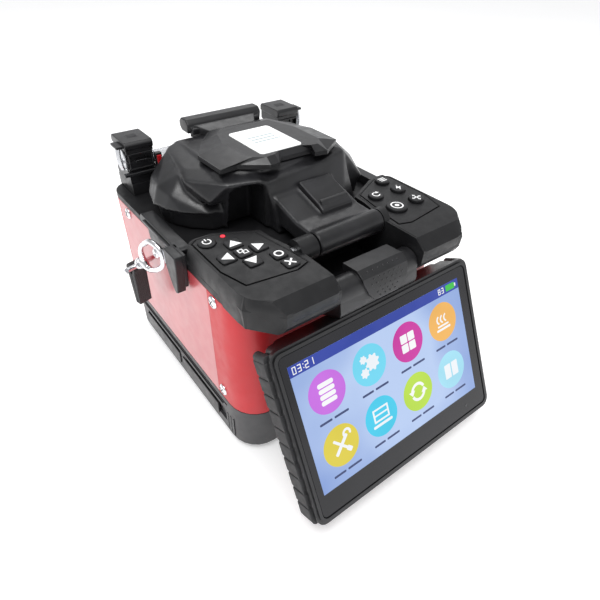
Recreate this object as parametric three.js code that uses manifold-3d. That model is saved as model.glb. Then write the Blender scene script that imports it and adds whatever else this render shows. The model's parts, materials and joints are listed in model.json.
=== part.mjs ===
// A fiber fusion splicer: red housing on a black tray, black deck with two keypad shoulders, a hinged
// wind-proof lid over the splicing well, a sleeve heater behind it and a tilting monitor in front.
// Millimetres. X to the operator's right, Y towards the heater at the rear, Z up, floor at z = 0.
import * as THREE from "three";
import { mergeVertices } from "three/addons/utils/BufferGeometryUtils.js";
import Module from "manifold-3d";

const wasm = await Module();
wasm.setup();

// Driving dimensions.
const HALF_WIDTH = 64.6;
const FRONT_Y = -44;
const REAR_Y = 101;
const FOOT_H = 3;
const TRAY_BOTTOM = 1.5;
const TRAY_TOP = 30.6;
const SHELL_BOTTOM = 30.9;
const SHELL_TOP = 99.6;
const SHEET = 1.5;
const DECK_BOTTOM = 99.9;
const DECK_TOP = 103.4;
const SHOULDER_TOP = 114;
const SHOULDER_FRONT_Y = -62.4;
const BAY_HALF = 24.9;
const LID_AXIS = [-31, 112];
const MONITOR_AXIS = [-54, 101];
const PIN_R = 2.5;
const BORE_R = 2.6;
const GAP = 0.3;
const MONITOR_TILT = 26.7;
const MONITOR_TOP = [-62.1, 92.9];
const MONITOR_W = 126.4;
const MONITOR_H = 87.9;
const MONITOR_T = 13.9;
const HOOK_PIVOT = [-69.6, 24, 99];
const HOOK_LEAN = 51;
const HOOK_SPLAY = 14;
const EYE_BAR = 29.95;
const SCREEN = [108, 64.8];
const SCREEN_TOP_MARGIN = 8.5;
const SCREW_HOLE_R = 1.8;
const FRONT_SCREW_Y = -22.7;
const REAR_SCREW_Y = 75.9;

const group = new THREE.Group();
group.name = "fiber_fusion_splicer";

// Geometry of a solid as a manifold, and back.
function toSolid(geometry) {
  const g = geometry.clone();
  g.deleteAttribute("normal");
  g.deleteAttribute("uv");
  const merged = mergeVertices(g, 1e-4);
  return new wasm.Manifold(
    new wasm.Mesh({
      numProp: 3,
      vertProperties: new Float32Array(merged.attributes.position.array),
      triVerts: new Uint32Array(merged.index.array),
    }),
  );
}

function toGeometry(solid) {
  const mesh = solid.getMesh();
  const g = new THREE.BufferGeometry();
  const count = mesh.numVert;
  const positions = new Float32Array(count * 3);
  for (let i = 0; i < count; i++) {
    for (let k = 0; k < 3; k++) {
      positions[3 * i + k] = mesh.vertProperties[mesh.numProp * i + k];
    }
  }
  g.setAttribute("position", new THREE.BufferAttribute(positions, 3));
  g.setIndex(new THREE.BufferAttribute(new Uint32Array(mesh.triVerts), 1));
  const flat = g.toNonIndexed();
  flat.computeVertexNormals();
  return flat;
}

const union = (...solids) => solids.reduce((a, b) => a.add(b));
const minus = (solid, ...cuts) => cuts.reduce((a, b) => a.subtract(b), solid);

// A closed outline, [[a, b], ...], pushed from one height to another.
function prism(points, low, high) {
  const shape = new THREE.Shape(points.map(([a, b]) => new THREE.Vector2(a, b)));
  const g = new THREE.ExtrudeGeometry(shape, { depth: high - low, bevelEnabled: false });
  g.translate(0, 0, low);
  return g;
}

const prismZ = (points, low, high) => toSolid(prism(points, low, high));

// Outline in Y, Z pushed along X.
function prismX(points, low, high) {
  const g = prism(points, low, high);
  g.applyMatrix4(new THREE.Matrix4().set(0, 0, 1, 0, 1, 0, 0, 0, 0, 1, 0, 0, 0, 0, 0, 1));
  return toSolid(g);
}

// Outline in X, Z pushed along Y.
function prismY(points, low, high) {
  const g = prism(points.map(([x, z]) => [z, x]), low, high);
  g.applyMatrix4(new THREE.Matrix4().set(0, 1, 0, 0, 0, 0, 1, 0, 1, 0, 0, 0, 0, 0, 0, 1));
  return toSolid(g);
}

function box(x0, x1, y0, y1, z0, z1) {
  const g = new THREE.BoxGeometry(x1 - x0, y1 - y0, z1 - z0);
  g.translate((x0 + x1) / 2, (y0 + y1) / 2, (z0 + z1) / 2);
  return toSolid(g);
}

function rodZ(r, x, y, low, high, sides = 24, topR = r) {
  const g = new THREE.CylinderGeometry(topR, r, high - low, sides);
  g.rotateX(Math.PI / 2);
  g.translate(x, y, (low + high) / 2);
  return toSolid(g);
}

function rodX(r, low, high, y, z, sides = 24) {
  const g = new THREE.CylinderGeometry(r, r, high - low, sides);
  g.rotateZ(Math.PI / 2);
  g.translate((low + high) / 2, y, z);
  return toSolid(g);
}

function rodY(r, low, high, x, z, sides = 24, farR = r) {
  const g = new THREE.CylinderGeometry(farR, r, high - low, sides);
  g.translate(x, (low + high) / 2, z);
  return toSolid(g);
}

// A solid between two outlines of the same number of points at two heights.
function loft(lower, upper, z0, z1) {
  const n = lower.length;
  const positions = [];
  const index = [];
  lower.forEach(([x, y]) => positions.push(x, y, z0));
  upper.forEach(([x, y]) => positions.push(x, y, z1));
  for (let i = 0; i < n; i++) {
    const j = (i + 1) % n;
    index.push(i, j, n + j, i, n + j, n + i);
  }
  const flat = (points) => points.map(([x, y]) => new THREE.Vector2(x, y));
  THREE.ShapeUtils.triangulateShape(flat(lower), []).forEach(([a, b, c]) => index.push(a, c, b));
  THREE.ShapeUtils.triangulateShape(flat(upper), []).forEach(([a, b, c]) => {
    index.push(n + a, n + b, n + c);
  });
  const g = new THREE.BufferGeometry();
  g.setAttribute("position", new THREE.Float32BufferAttribute(positions, 3));
  g.setIndex(index);
  return toSolid(g);
}

// Outline moved in towards its own middle by the running gap.
function shrunk(points) {
  const cx = points.reduce((sum, [x]) => sum + x, 0) / points.length;
  const cy = points.reduce((sum, [, y]) => sum + y, 0) / points.length;
  return points.map(([x, y]) => [x + (cx - x) * 0.04, y + (cy - y) * 0.025]);
}

const mirrorX = (points) => points.map(([x, y]) => [-x, y]).reverse();
const scaled = (points, k, cy) => points.map(([x, y]) => [x * k, (y - cy) * k + cy]);

// Rectangle outline with rounded corners.
function roundedRect(x0, x1, y0, y1, r, steps = 4) {
  const points = [];
  const corner = (cx, cy, from) => {
    for (let i = 0; i <= steps; i++) {
      const a = from + ((Math.PI / 2) * i) / steps;
      points.push([cx + r * Math.cos(a), cy + r * Math.sin(a)]);
    }
  };
  corner(x1 - r, y1 - r, 0);
  corner(x0 + r, y1 - r, Math.PI / 2);
  corner(x0 + r, y0 + r, Math.PI);
  corner(x1 - r, y0 + r, (3 * Math.PI) / 2);
  return points;
}

// Plan outline of the housing, pulled in by an amount; big front corners, smaller rear ones.
function housing(inset) {
  const x = HALF_WIDTH - inset;
  const front = FRONT_Y + inset;
  const rear = REAR_Y - inset;
  const points = [];
  const corner = (cx, cy, r, from) => {
    for (let i = 0; i <= 6; i++) {
      const a = from + ((Math.PI / 2) * i) / 6;
      points.push([cx + r * Math.cos(a), cy + r * Math.sin(a)]);
    }
  };
  const rf = 16 - inset;
  const rr = 12 - inset;
  corner(x - rr, rear - rr, rr, 0);
  corner(-x + rr, rear - rr, rr, Math.PI / 2);
  corner(-x + rf, front + rf, rf, Math.PI);
  corner(x - rf, front + rf, rf, (3 * Math.PI) / 2);
  return points;
}

const palette = {
  black_plastic: { color: 0x1b1b1d, roughness: 0.55, metalness: 0 },
  red_paint: { color: 0xc01822, roughness: 0.35, metalness: 0.1 },
  rubber: { color: 0x111111, roughness: 0.9, metalness: 0 },
  key_rubber: { color: 0x151517, roughness: 0.8, metalness: 0 },
  chrome: { color: 0xd8d8dc, roughness: 0.15, metalness: 1 },
  steel: { color: 0xaeb0b4, roughness: 0.35, metalness: 1 },
  aluminium: { color: 0xc4c6ca, roughness: 0.4, metalness: 1 },
  ceramic: { color: 0xf0efe9, roughness: 0.4, metalness: 0 },
  glass: { color: 0x2a3560, roughness: 0.08, metalness: 0 },
  clear_plastic: { color: 0xe6ebef, roughness: 0.15, metalness: 0 },
  red_lens: { color: 0xe03030, roughness: 0.2, metalness: 0 },
  board: { color: 0x1f5b36, roughness: 0.6, metalness: 0 },
  webbing: { color: 0x101012, roughness: 0.95, metalness: 0 },
};

function add(name, solid, look) {
  const mesh = new THREE.Mesh(toGeometry(solid), new THREE.MeshStandardMaterial(palette[look]));
  mesh.name = name;
  group.add(mesh);
  return mesh;
}

// Housing: tray, feet, red panels.
function buildHousing() {
  const feet = [
    [-50, -26],
    [50, -26],
    [-50, 84],
    [50, 84],
  ];
  let tray = prismZ(housing(0), 4.5, TRAY_TOP);
  // Corner pads stand lower than the middle of each side.
  const footprint = prismZ(housing(2), 0, 10);
  [-1, 1].forEach((side) => {
    const xs = side < 0 ? [-HALF_WIDTH + 3, -20] : [20, HALF_WIDTH - 3];
    tray = tray.add(box(xs[0], xs[1], -60, -8, TRAY_BOTTOM, 5).intersect(footprint));
    tray = tray.add(box(xs[0], xs[1], 62, 120, TRAY_BOTTOM, 5).intersect(footprint));
  });
  tray = tray.subtract(prismZ(housing(3), 8, 40));
  feet.forEach(([x, y]) => {
    tray = tray.subtract(rodZ(7.3, x, y, -1, FOOT_H + GAP, 24));
  });
  // Long recessed panels on both sides, front corner slots, battery doorway in the rear wall.
  [-1, 1].forEach((side) => {
    const outer = side * HALF_WIDTH;
    const cut = (y0, y1, z0, z1, depth) => {
      const a = Math.min(outer - side * depth, outer + side);
      const b = Math.max(outer - side * depth, outer + side);
      tray = tray.subtract(box(a, b, y0, y1, z0, z1));
    };
    cut(-22, 26, 11, 20, 1.4);
    cut(34, 82, 11, 20, 1.4);
    cut(-24, 86, 25.2, 26.6, 1.2);
  });
  tray = tray.subtract(box(-38, 38, 90, 110, 8, 33));
  [-20, 0, 20].forEach((x) => {
    tray = tray.subtract(box(x - 6, x + 6, FRONT_Y - 1, FRONT_Y + 1.2, 12, 22));
  });
  add("base_tray", tray, "black_plastic");
  feet.forEach(([x, y], i) => {
    add("rubber_foot_" + (i + 1), rodZ(6.2, x, y, 0, FOOT_H, 24, 7), "rubber");
  });

  const shell = (z0, z1) => prismZ(housing(0), z0, z1).subtract(prismZ(housing(SHEET), z0 - 1, z1 + 1));
  const front = shell(SHELL_BOTTOM, SHELL_TOP)
    .intersect(box(-70, 70, -60, -17.3, 0, 200))
    .subtract(box(-BAY_HALF - 2.4, BAY_HALF + 2.4, -60, -30, 86.6, 120));
  const screwHeights = [37.6, 96];
  const screwHoles = (y) => screwHeights.map((z) => rodX(SCREW_HOLE_R, -70, 70, y, z, 16));
  add("front_panel", minus(front, ...screwHoles(FRONT_SCREW_Y)), "red_paint");
  [-1, 1].forEach((side) => {
    const word = side < 0 ? "left" : "right";
    const slab = side < 0 ? box(-70, -50, -17, 90, 0, 200) : box(50, 70, -17, 90, 0, 200);
    const panel = shell(SHELL_BOTTOM, SHELL_TOP).intersect(slab).subtract(
      box(-49, 49, -100, 200, 0, 200),
    );
    add("side_panel_" + word, minus(panel, ...screwHoles(REAR_SCREW_Y)), "red_paint");
  });
  // Rear panel with the openings for the battery and the connector plate.
  const rear = shell(SHELL_BOTTOM, SHELL_TOP)
    .intersect(box(-70, 70, 90.3, 110, 0, 200))
    .subtract(box(-38, 38, 90, 110, 20, 33.2))
    .subtract(box(-30, 30, 95, 110, 60, 82));
  add("rear_panel", rear, "red_paint");
  // Connector plate behind the rear panel: round charging inlet, USB and data sockets.
  let plate = box(-33, 33, 97.2, 99.2, 57, 85);
  plate = plate.add(box(-29.7, 29.7, 99, 100.6, 60.3, 81.7));
  plate = minus(
    plate,
    rodY(5.5, 95, 105, -18, 71, 24),
    box(-6, 6, 95, 105, 68.5, 73.5),
    box(12, 24, 95, 105, 66.5, 75.5),
  );
  plate = plate.add(minus(rodY(5.9, 92, 97.6, -18, 71, 24), rodY(4, 94, 99, -18, 71, 24)));
  plate = plate.add(rodY(1, 93, 99, -18, 71, 12));
  add("connector_plate", plate, "black_plastic");
}

// Outline of the left keypad shoulder at its top; the right one is its mirror image.
const shoulderOutline = [
  [-HALF_WIDTH, 0],
  [-HALF_WIDTH, -48],
  [-53, SHOULDER_FRONT_Y],
  [-BAY_HALF, SHOULDER_FRONT_Y],
  [-BAY_HALF, -38],
  [-30, -17],
  [-30.7, -8],
  [-51.4, 2.7],
  [-60, 3],
];

const keypadOutline = [
  [-62.4, -1.5],
  [-62.4, -28],
  [-58.5, -42],
  [-34.5, -45.2],
  [-27.5, -43],
  [-28.5, -34],
  [-31.8, -16],
  [-33, -9],
  [-51.6, 0.2],
  [-59, 0.6],
];

// Keys: name, centre, half sizes or radius.
const leftKeys = [
  ["power", -56.2, -5.2, 4.2],
  ["up", -47, -12.9, 3.6],
  ["right", -38.8, -21, 3.6],
  ["left", -55.2, -21.2, 3.6],
  ["down", -47.1, -29.4, 3.6],
  ["centre", -47, -21.1, 3.5],
  ["heat", -35.2, -31.4, 3.3],
  ["cancel", -34.7, -39.4, 3.3],
];
const rightKeys = [
  ["menu", 53.8, -4.6, 4],
  ["arc", 54, -16.6, 4],
  ["reset", 38.2, -15.8, 4],
  ["set", 38.6, -30.6, 5.4],
  ["xy", 53.4, -30.2, 4],
];
const statusLamp = [-47.2, -3.6];
const squareKeys = ["up", "right", "left", "down", "centre", "heat", "cancel"];

function buildDeck() {
  let deck = prismZ(housing(0), DECK_BOTTOM, DECK_TOP);
  // Splicing well: a tub that hangs below the deck under the lid.
  deck = deck.add(box(-44, 44, 24, 68, 84, DECK_BOTTOM + 1));
  deck = deck.subtract(box(-42, 42, 26, 66, 86, 110));
  [-1, 1].forEach((side) => {
    const outline = side < 0 ? shoulderOutline : mirrorX(shoulderOutline);
    const lower = scaled(outline, 0.985, -28);
    let shoulder = loft(outline, scaled(outline, 0.975, -28), 108, SHOULDER_TOP);
    shoulder = union(shoulder, loft(lower, outline, 98, 108.2));
    shoulder = shoulder.subtract(box(-80, 80, -80, -58.6, 90, 99.5));
    // Sloped lower front edge.
    shoulder = shoulder.subtract(
      prismX([[-70, 90], [-56, 90], [-56, 97.4], [-59.4, 98.2], [-63.5, 105], [-70, 105]], -80, 80),
    );
    shoulder = shoulder.subtract(
      prismX([[-64, 109.6], [-64, 116], [-56.4, 116], [-56.4, 114], [-61.9, 109.6]], -80, 80),
    );
    const inner = scaled(outline, 0.9, -26);
    const centreX = side * 45;
    const hollow = inner.map(([x, y]) => [(x - centreX) * 0.94 + centreX, y]);
    shoulder = shoulder.subtract(prismZ(hollow, 101.5, SHOULDER_TOP - 3).intersect(
      box(-80, 80, -54, 20, 90, 120),
    ));
    deck = deck.add(shoulder);
    // Open underside inside the housing.
    const under = side < 0 ? box(-58, -30, -38, -6, 96, 104) : box(30, 58, -38, -6, 96, 104);
    deck = deck.subtract(under);
  });
  // Hinge bay between the shoulders: open to the front and top, closed below.
  deck = deck.subtract(box(-BAY_HALF, BAY_HALF, -80, -19, 80, 130));
  const bay = minus(
    box(-BAY_HALF - 2, BAY_HALF + 2, -41.5, -17, 88, DECK_BOTTOM + 1),
    box(-BAY_HALF, BAY_HALF, -60, -19, 90, 120),
  );
  deck = deck.add(bay);
  // Solid ears beside the bay carry the two hinge pins.
  [-1, 1].forEach((side) => {
    const x0 = side < 0 ? -BAY_HALF - 5 : BAY_HALF;
    deck = deck.add(box(x0, x0 + 5, -59, -24, 99, SHOULDER_TOP - 2));
    const knuckle = rodX(6, side < 0 ? -26 : 24.3, side < 0 ? -16.4 : 28, LID_AXIS[0], LID_AXIS[1], 24);
    deck = deck.add(knuckle);
  });
  deck = deck.subtract(rodX(BORE_R, -28.4, 28.4, LID_AXIS[0], LID_AXIS[1], 32));
  deck = deck.subtract(rodX(BORE_R, -28.4, 28.4, MONITOR_AXIS[0], MONITOR_AXIS[1], 32));
  // The deck sits on the upper edge of the sheet panels.
  deck = deck.subtract(
    prismZ(housing(-GAP), 90, DECK_BOTTOM).subtract(prismZ(housing(SHEET + GAP), 80, 101)),
  );
  // Shallow seats for the keypad plates, and the wells the keys run in.
  deck = deck.subtract(prismZ(keypadOutline, SHOULDER_TOP - 0.9, 120));
  deck = deck.subtract(prismZ(mirrorX(keypadOutline), SHOULDER_TOP - 0.9, 120));
  [...leftKeys, ...rightKeys].forEach(([, x, y, r]) => {
    deck = deck.subtract(rodZ(r - 0.9 + GAP, x, y, 100, 120, 20));
  });
  deck = deck.subtract(rodZ(1.5, statusLamp[0], statusLamp[1], 108, 120, 16));
  add("top_deck", deck, "black_plastic");

  // A key's own shape, or the hole round it when room is left.
  const keyShape = ([name, x, y, r], low, high, room) => {
    const half = r + room;
    if (!squareKeys.includes(name)) return rodZ(half, x, y, low, high, 20);
    return prismZ(roundedRect(x - half, x + half, y - half, y + half, 1.3 + room, 3), low, high);
  };
  const plate = (outline, keys) => {
    let body = prismZ(shrunk(outline), SHOULDER_TOP - 0.6, SHOULDER_TOP + 0.3);
    keys.forEach((key) => {
      body = body.subtract(keyShape(key, 110, 120, GAP));
    });
    return body.subtract(rodZ(1.5, statusLamp[0], statusLamp[1], 110, 120, 16));
  };
  add("keypad_plate_left", plate(keypadOutline, leftKeys), "key_rubber");
  add("keypad_plate_right", plate(mirrorX(keypadOutline), rightKeys), "key_rubber");
  [...leftKeys, ...rightKeys].forEach((key) => {
    const [name, x, y, r] = key;
    const skirt = keyShape(key, SHOULDER_TOP + 0.35, SHOULDER_TOP + 1.1, 0);
    const face = keyShape(key, SHOULDER_TOP + 1, SHOULDER_TOP + 1.5, -0.4);
    const stem = rodZ(r - 1.2, x, y, 107.4, SHOULDER_TOP + 0.5, 16);
    add("key_" + name, union(skirt, face, stem), "key_rubber");
  });
  add("status_lamp", rodZ(1.2, statusLamp[0], statusLamp[1], 109, SHOULDER_TOP + 0.5, 16), "red_lens");
}

// Lid: rim and crown outlines in plan, rear left corner first.
const lidRim = [
  [-48, 71],
  [-57, 58],
  [-60.5, 44],
  [-58, 34.5],
  [-53, 26.5],
  [-43, 17.6],
  [-34.6, 16.6],
  [-15, 9],
  [42, 9],
  [51.5, 8],
  [57, 20],
  [60, 42],
  [56, 57],
  [46, 71],
];
const lidCrown = [
  [-34, 69],
  [-40, 60],
  [-40, 40],
  [-39, 30],
  [-38, 20],
  [-36, 14.5],
  [-27, 14],
  [-13, 6],
  [27, 6],
  [40, 10],
  [42, 24],
  [41, 42],
  [37, 56],
  [28, 69],
];
// Corners of the lid's faceted bodies: left wing, the brow over it, right wing, middle, niche roof and
// front block.
const leftWing = [
  [-48, 71, 113.6], [-57, 58, 113.6], [-60.5, 44, 113.6], [-58, 34.5, 113.7], [-53, 26.5, 114],
  [-43, 17.6, 114.2], [-53, 61, 121.5], [-56.6, 45, 122.5], [-54.6, 34, 121], [-34, 70, 131.5],
  [-40.6, 66, 130.5], [-46, 38, 129], [-24, 70, 131.5], [-24, 24, 120], [-24, 70, 113.6], [-24, 20, 113.6],
];
const leftBrow = [
  [-33, 70, 133], [-40, 67, 131.8], [-44.5, 39, 131], [-48.5, 29.5, 129], [-42.5, 15.5, 121.4],
  [-34.9, 14.3, 121.4], [-34.5, 11, 130], [-24, 20, 133.3], [-24, 70, 133.3], [-42, 17, 119],
  [-34.8, 16, 119], [-46.6, 31, 121], [-40, 60, 121], [-24, 22, 119], [-24, 60, 119],
];
const rightWing = [
  [46, 71, 113.6], [56, 57, 113.6], [60, 42, 113.6], [57, 20, 113.6], [51.5, 9, 113.6],
  [52.4, 60, 121.5], [56.4, 44, 122.5], [53.6, 23, 121.5], [47, 12, 121], [30, 70, 133],
  [38, 62, 132.3], [43, 46, 131.6], [43, 26, 131.4], [38.5, 13, 130.8], [20, 70, 133.3],
  [20, 16, 133.3], [20, 71, 113.6], [20, 14, 113.6],
];
const middle = [
  [-40, 71, 113.6], [40, 71, 113.6], [-32, 70, 133.3], [30, 70, 133.3], [-33, 20, 133.2],
  [-14, 12, 133.3], [36, 15, 132.4], [-40, 24, 113.6], [40, 14, 113.6],
];
const nicheRoof = [
  [-34.5, 11, 130], [-24, 9.5, 130.6], [-18.5, 6, 130], [-15.5, 5, 128.6], [-34.5, 25, 132.6],
  [-15.5, 25, 133.3], [-34.5, 16.6, 104.2], [-15.5, 5, 104.2], [-34.5, 25, 104.2], [-15.5, 25, 104.2],
];
const frontBlock = [
  [-16.5, 5, 128.6], [12, 7, 130], [38.5, 12.5, 130.8], [-16.5, 24, 133.3], [38.5, 24, 133.3],
  [-15.5, -4, 104.2], [28, -4.6, 104.2], [42, 3.4, 104.2], [-15.5, 24, 104.2], [42, 24, 104.2],
];
const plateLower = [
  [-14, 66],
  [-25, 54],
  [-35.5, 38],
  [-35, 16.5],
  [-25.5, 17],
  [-12, 7.8],
  [-6.5, 8.5],
  [-2.5, 13],
  [16.2, 12.7],
  [15.5, 8.6],
  [22.5, 7],
  [36, 16],
  [36, 38],
  [24, 66],
];
const plateUpper = [
  [-11, 58],
  [-17, 51],
  [-21, 38],
  [-20, 20],
  [-18, 15],
  [-12, 11.5],
  [-7, 12],
  [-3, 14.5],
  [10, 14.2],
  [15, 11.5],
  [19, 11],
  [24, 17],
  [24, 38],
  [18, 56],
];

function buildLid() {
  const bodies = [leftWing, leftBrow, rightWing, middle, nicheRoof, frontBlock];
  let lid = union(...bodies.map((corners) => wasm.Manifold.hull(corners)));
  lid = lid.add(loft(scaled(lidRim, 0.93, 42), scaled(lidRim, 0.96, 42), 104, 113.8));
  // Niche at the left front, under an arched roof.
  const arch = [
    [-33.6, 100], [-33.6, 125.6], [-31, 127.6], [-24, 128.6],
    [-18.6, 127.8], [-17.2, 126], [-17.2, 100],
  ];
  lid = lid.subtract(prismY(arch, -20, 21.5));
  const cavity = loft(scaled(lidRim, 0.86, 42), scaled(lidCrown, 0.88, 42), 103, 129.6);
  lid = lid.subtract(cavity.subtract(box(-36, 29, -20, 24.5, 100, 140)));
  lid = lid.subtract(box(-11, 26, -6, 14, 100, 112));
  // Arm with the barrel at its end.
  const [ay, az] = LID_AXIS;
  const armSide = [
    [4, 108.6], [4, 123.5], [1, 121.8], [-17, 116.6], [-26, 116.2],
    [-31, 117.8], [-36, 112], [-31, 106.2], [-24, 106.6], [-7, 108.6],
  ];
  const arm = prismX(armSide, -15, 24);
  lid = lid.add(arm);
  lid = lid.add(rodX(6, -15, 24, ay, az, 28));
  lid = lid.subtract(rodX(BORE_R, -16, 25, ay, az, 32));
  // Raised pad on the arm with a step at its lower end.
  lid = lid.add(prismX([[2, 121.4], [2, 123.2], [-14.5, 118.6], [-17.5, 116.4]], 1, 19.5));
  add("lid_shell", lid, "black_plastic");

  let crown = loft(plateLower, plateUpper, 135.8, 138.8).add(prismZ(plateLower, 133.7, 135.9));
  crown = crown.subtract(prismZ(roundedRect(-13, 13, 14.6, 48.4, 2.5), 138.4, 145));
  add("lid_top_plate", crown, "black_plastic");
  // Rear lift handle: bevelled bar on a low root.
  const bar = prismX(
    [[73, 133.7], [81, 133.7], [83, 136], [83, 139], [80.5, 141], [74.5, 141], [72, 138.5]],
    -23.6,
    24.2,
  );
  const root = box(-22, 22, 69.5, 74.5, 133.7, 137.2);
  add("lid_handle", union(bar, root), "black_plastic");
  add("lid_hinge_pin", rodX(PIN_R, -28, 28, ay, az, 32), "steel");
}

// Splicing mechanism inside the well, fibre axis along X.
function buildMechanism() {
  const cy = 45;
  let base = union(
    box(-41.6, 41.6, 26.4, 65.6, 86.3, 90),
    box(-14, 14, cy - 8, cy + 8, 89.5, 96),
  );
  [-1, 1].forEach((dir) => {
    const far = cy + dir * 17.5;
    const near = cy + dir * 8.6;
    const low = Math.min(far, near);
    const high = Math.max(far, near);
    base = base.add(box(-4.5, 4.5, low, high, 89.5, 109));
    base = base.subtract(rodY(1.3, low - 1, high + 1, 0, 105.5, 20));
  });
  add("splice_base", base, "aluminium");
  const groove = minus(
    box(-12, 12, cy - 5, cy + 5, 96.3, 107),
    prismX([[cy - 0.8, 107.5], [cy, 106], [cy + 0.8, 107.5]], -13, 13),
    box(-4, 4, cy - 6, cy + 6, 101, 108),
  );
  add("vgroove_block", groove, "ceramic");
  const front = rodY(1, cy - 19, cy - 4, 0, 105.5, 16).add(rodY(1, cy - 4.2, cy - 1.2, 0, 105.5, 16, 0.15));
  add("electrode_front", front, "steel");
  const rear = rodY(1, cy + 4, cy + 19, 0, 105.5, 16).add(rodY(0.15, cy + 1.2, cy + 4.2, 0, 105.5, 16, 1));
  add("electrode_rear", rear, "steel");
  [
    ["left", -1],
    ["right", 1],
  ].forEach(([word, dir]) => {
    const a = dir < 0 ? -37 : 17;
    const b = a + 20;
    let stage = box(a, b, cy - 9, cy + 9, 90.3, 105);
    stage = stage.subtract(prismX([[cy - 1, 105.5], [cy, 104], [cy + 1, 105.5]], a - 1, b + 1));
    const ears = [a + 2, b - 6].map((x) => (
      box(x, x + 4, cy + 8.5, cy + 13, 98, 107.2).add(rodX(2.5, x, x + 4, cy + 11, 107.2, 20))
    ));
    stage = union(stage, ...ears).subtract(rodX(1.1, a, b, cy + 11, 107.2, 20));
    add("fibre_stage_" + word, stage, "aluminium");
    const lidPlate = box(a + 1, b - 1, cy - 8, cy + 7.8, 105.5, 108.8);
    const tongue = box(a + 6.5, b - 6.5, cy + 7.5, cy + 12.6, 105.5, 108.8);
    const axle = rodX(1, a + 1.5, b - 1.5, cy + 11, 107.2, 20);
    const thumb = box(a + 7, b - 7, cy - 11, cy - 7.8, 106.5, 108.8);
    add("fibre_clamp_" + word, union(lidPlate, tongue, axle, thumb), "black_plastic");
  });
}

// Sleeve heater across the rear of the deck.
function buildHeater() {
  let base = box(-58, 58, 79.5, 100.4, 103.7, 110);
  [-1, 1].forEach((side) => {
    const x0 = side < 0 ? -58 : 42;
    base = base.add(box(x0, x0 + 16, 80.5, 99.6, 109.5, 117));
    [x0 + 2, x0 + 11].forEach((x) => {
      base = base.add(box(x, x + 3, 94.2, 99.6, 116.5, 120)).add(rodX(2.7, x, x + 3, 97, 120, 24));
    });
    base = base.subtract(rodX(1.2, x0 - 1, x0 + 17, 97, 120, 20));
    // Hinge ears of the cover.
    const e0 = side < 0 ? -40.5 : 37.5;
    base = base.add(box(e0, e0 + 3, 95.5, 100.4, 109.5, 118));
    base = base.subtract(rodX(1.1, e0 - 1, e0 + 4, 98, 115.5, 20));
  });
  base = base.subtract(box(-41, 41, 84, 94.4, 106, 111));
  add("heater_base", base, "black_plastic");
  const channel = minus(
    box(-40.6, 40.6, 84.4, 94, 106.3, 113),
    prismX([[86, 113.5], [88, 108.5], [90.4, 108.5], [92.4, 113.5]], -42, 42),
  );
  add("heater_channel", channel, "aluminium");
  let cover = minus(box(-37, 37, 82, 97.6, 113.6, 120), box(-35, 35, 84, 95, 113, 118));
  cover = cover.add(rodX(2.2, -37, 37, 98, 115.5, 20));
  cover = cover.add(rodX(1, -40, 40, 98, 115.5, 20));
  add("heater_cover", cover, "clear_plastic");
  [
    ["left", -1],
    ["right", 1],
  ].forEach(([word, dir]) => {
    const x0 = dir < 0 ? -57.6 : 42.4;
    const x1 = x0 + 15.2;
    const profile = [
      [80.6, 117.4], [80.6, 122], [81.6, 122.6], [81.6, 126.4], [80.2, 127.2], [80.2, 131.4],
      [81.6, 132.9], [98.4, 132.9], [99.6, 131.6], [99.6, 124], [93.4, 122], [93.4, 117.4],
    ];
    let clamp = prismX(profile, x0, x1);
    clamp = clamp.subtract(box(x0 + 4.5, x1 - 4.5, 79, 82.4, 123, 126));
    clamp = clamp.subtract(box(x0 + 4, x1 - 4, 88, 93, 132, 134));
    clamp = clamp.subtract(rodX(3.1, x0 - 1, x1 + 1, 97, 120, 24));
    const barrel = rodX(2.4, x0 + 5.2, x1 - 5.2, 97, 120, 24);
    const tongue = box(x0 + 5.2, x1 - 5.2, 92, 98.4, 118, 125).add(barrel);
    clamp = union(clamp, tongue, rodX(1.1, x0 + 1.8, x1 - 1.8, 97, 120, 20));
    add("heater_clamp_" + word, clamp, "black_plastic");
  });
}

// Monitor parts are built upright, front face at local y = 0 with its top edge at z = 0, then tilted.
function placeMonitor(solid) {
  return solid.rotate([-MONITOR_TILT, 0, 0]).translate([0, MONITOR_TOP[0], MONITOR_TOP[1]]);
}

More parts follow.
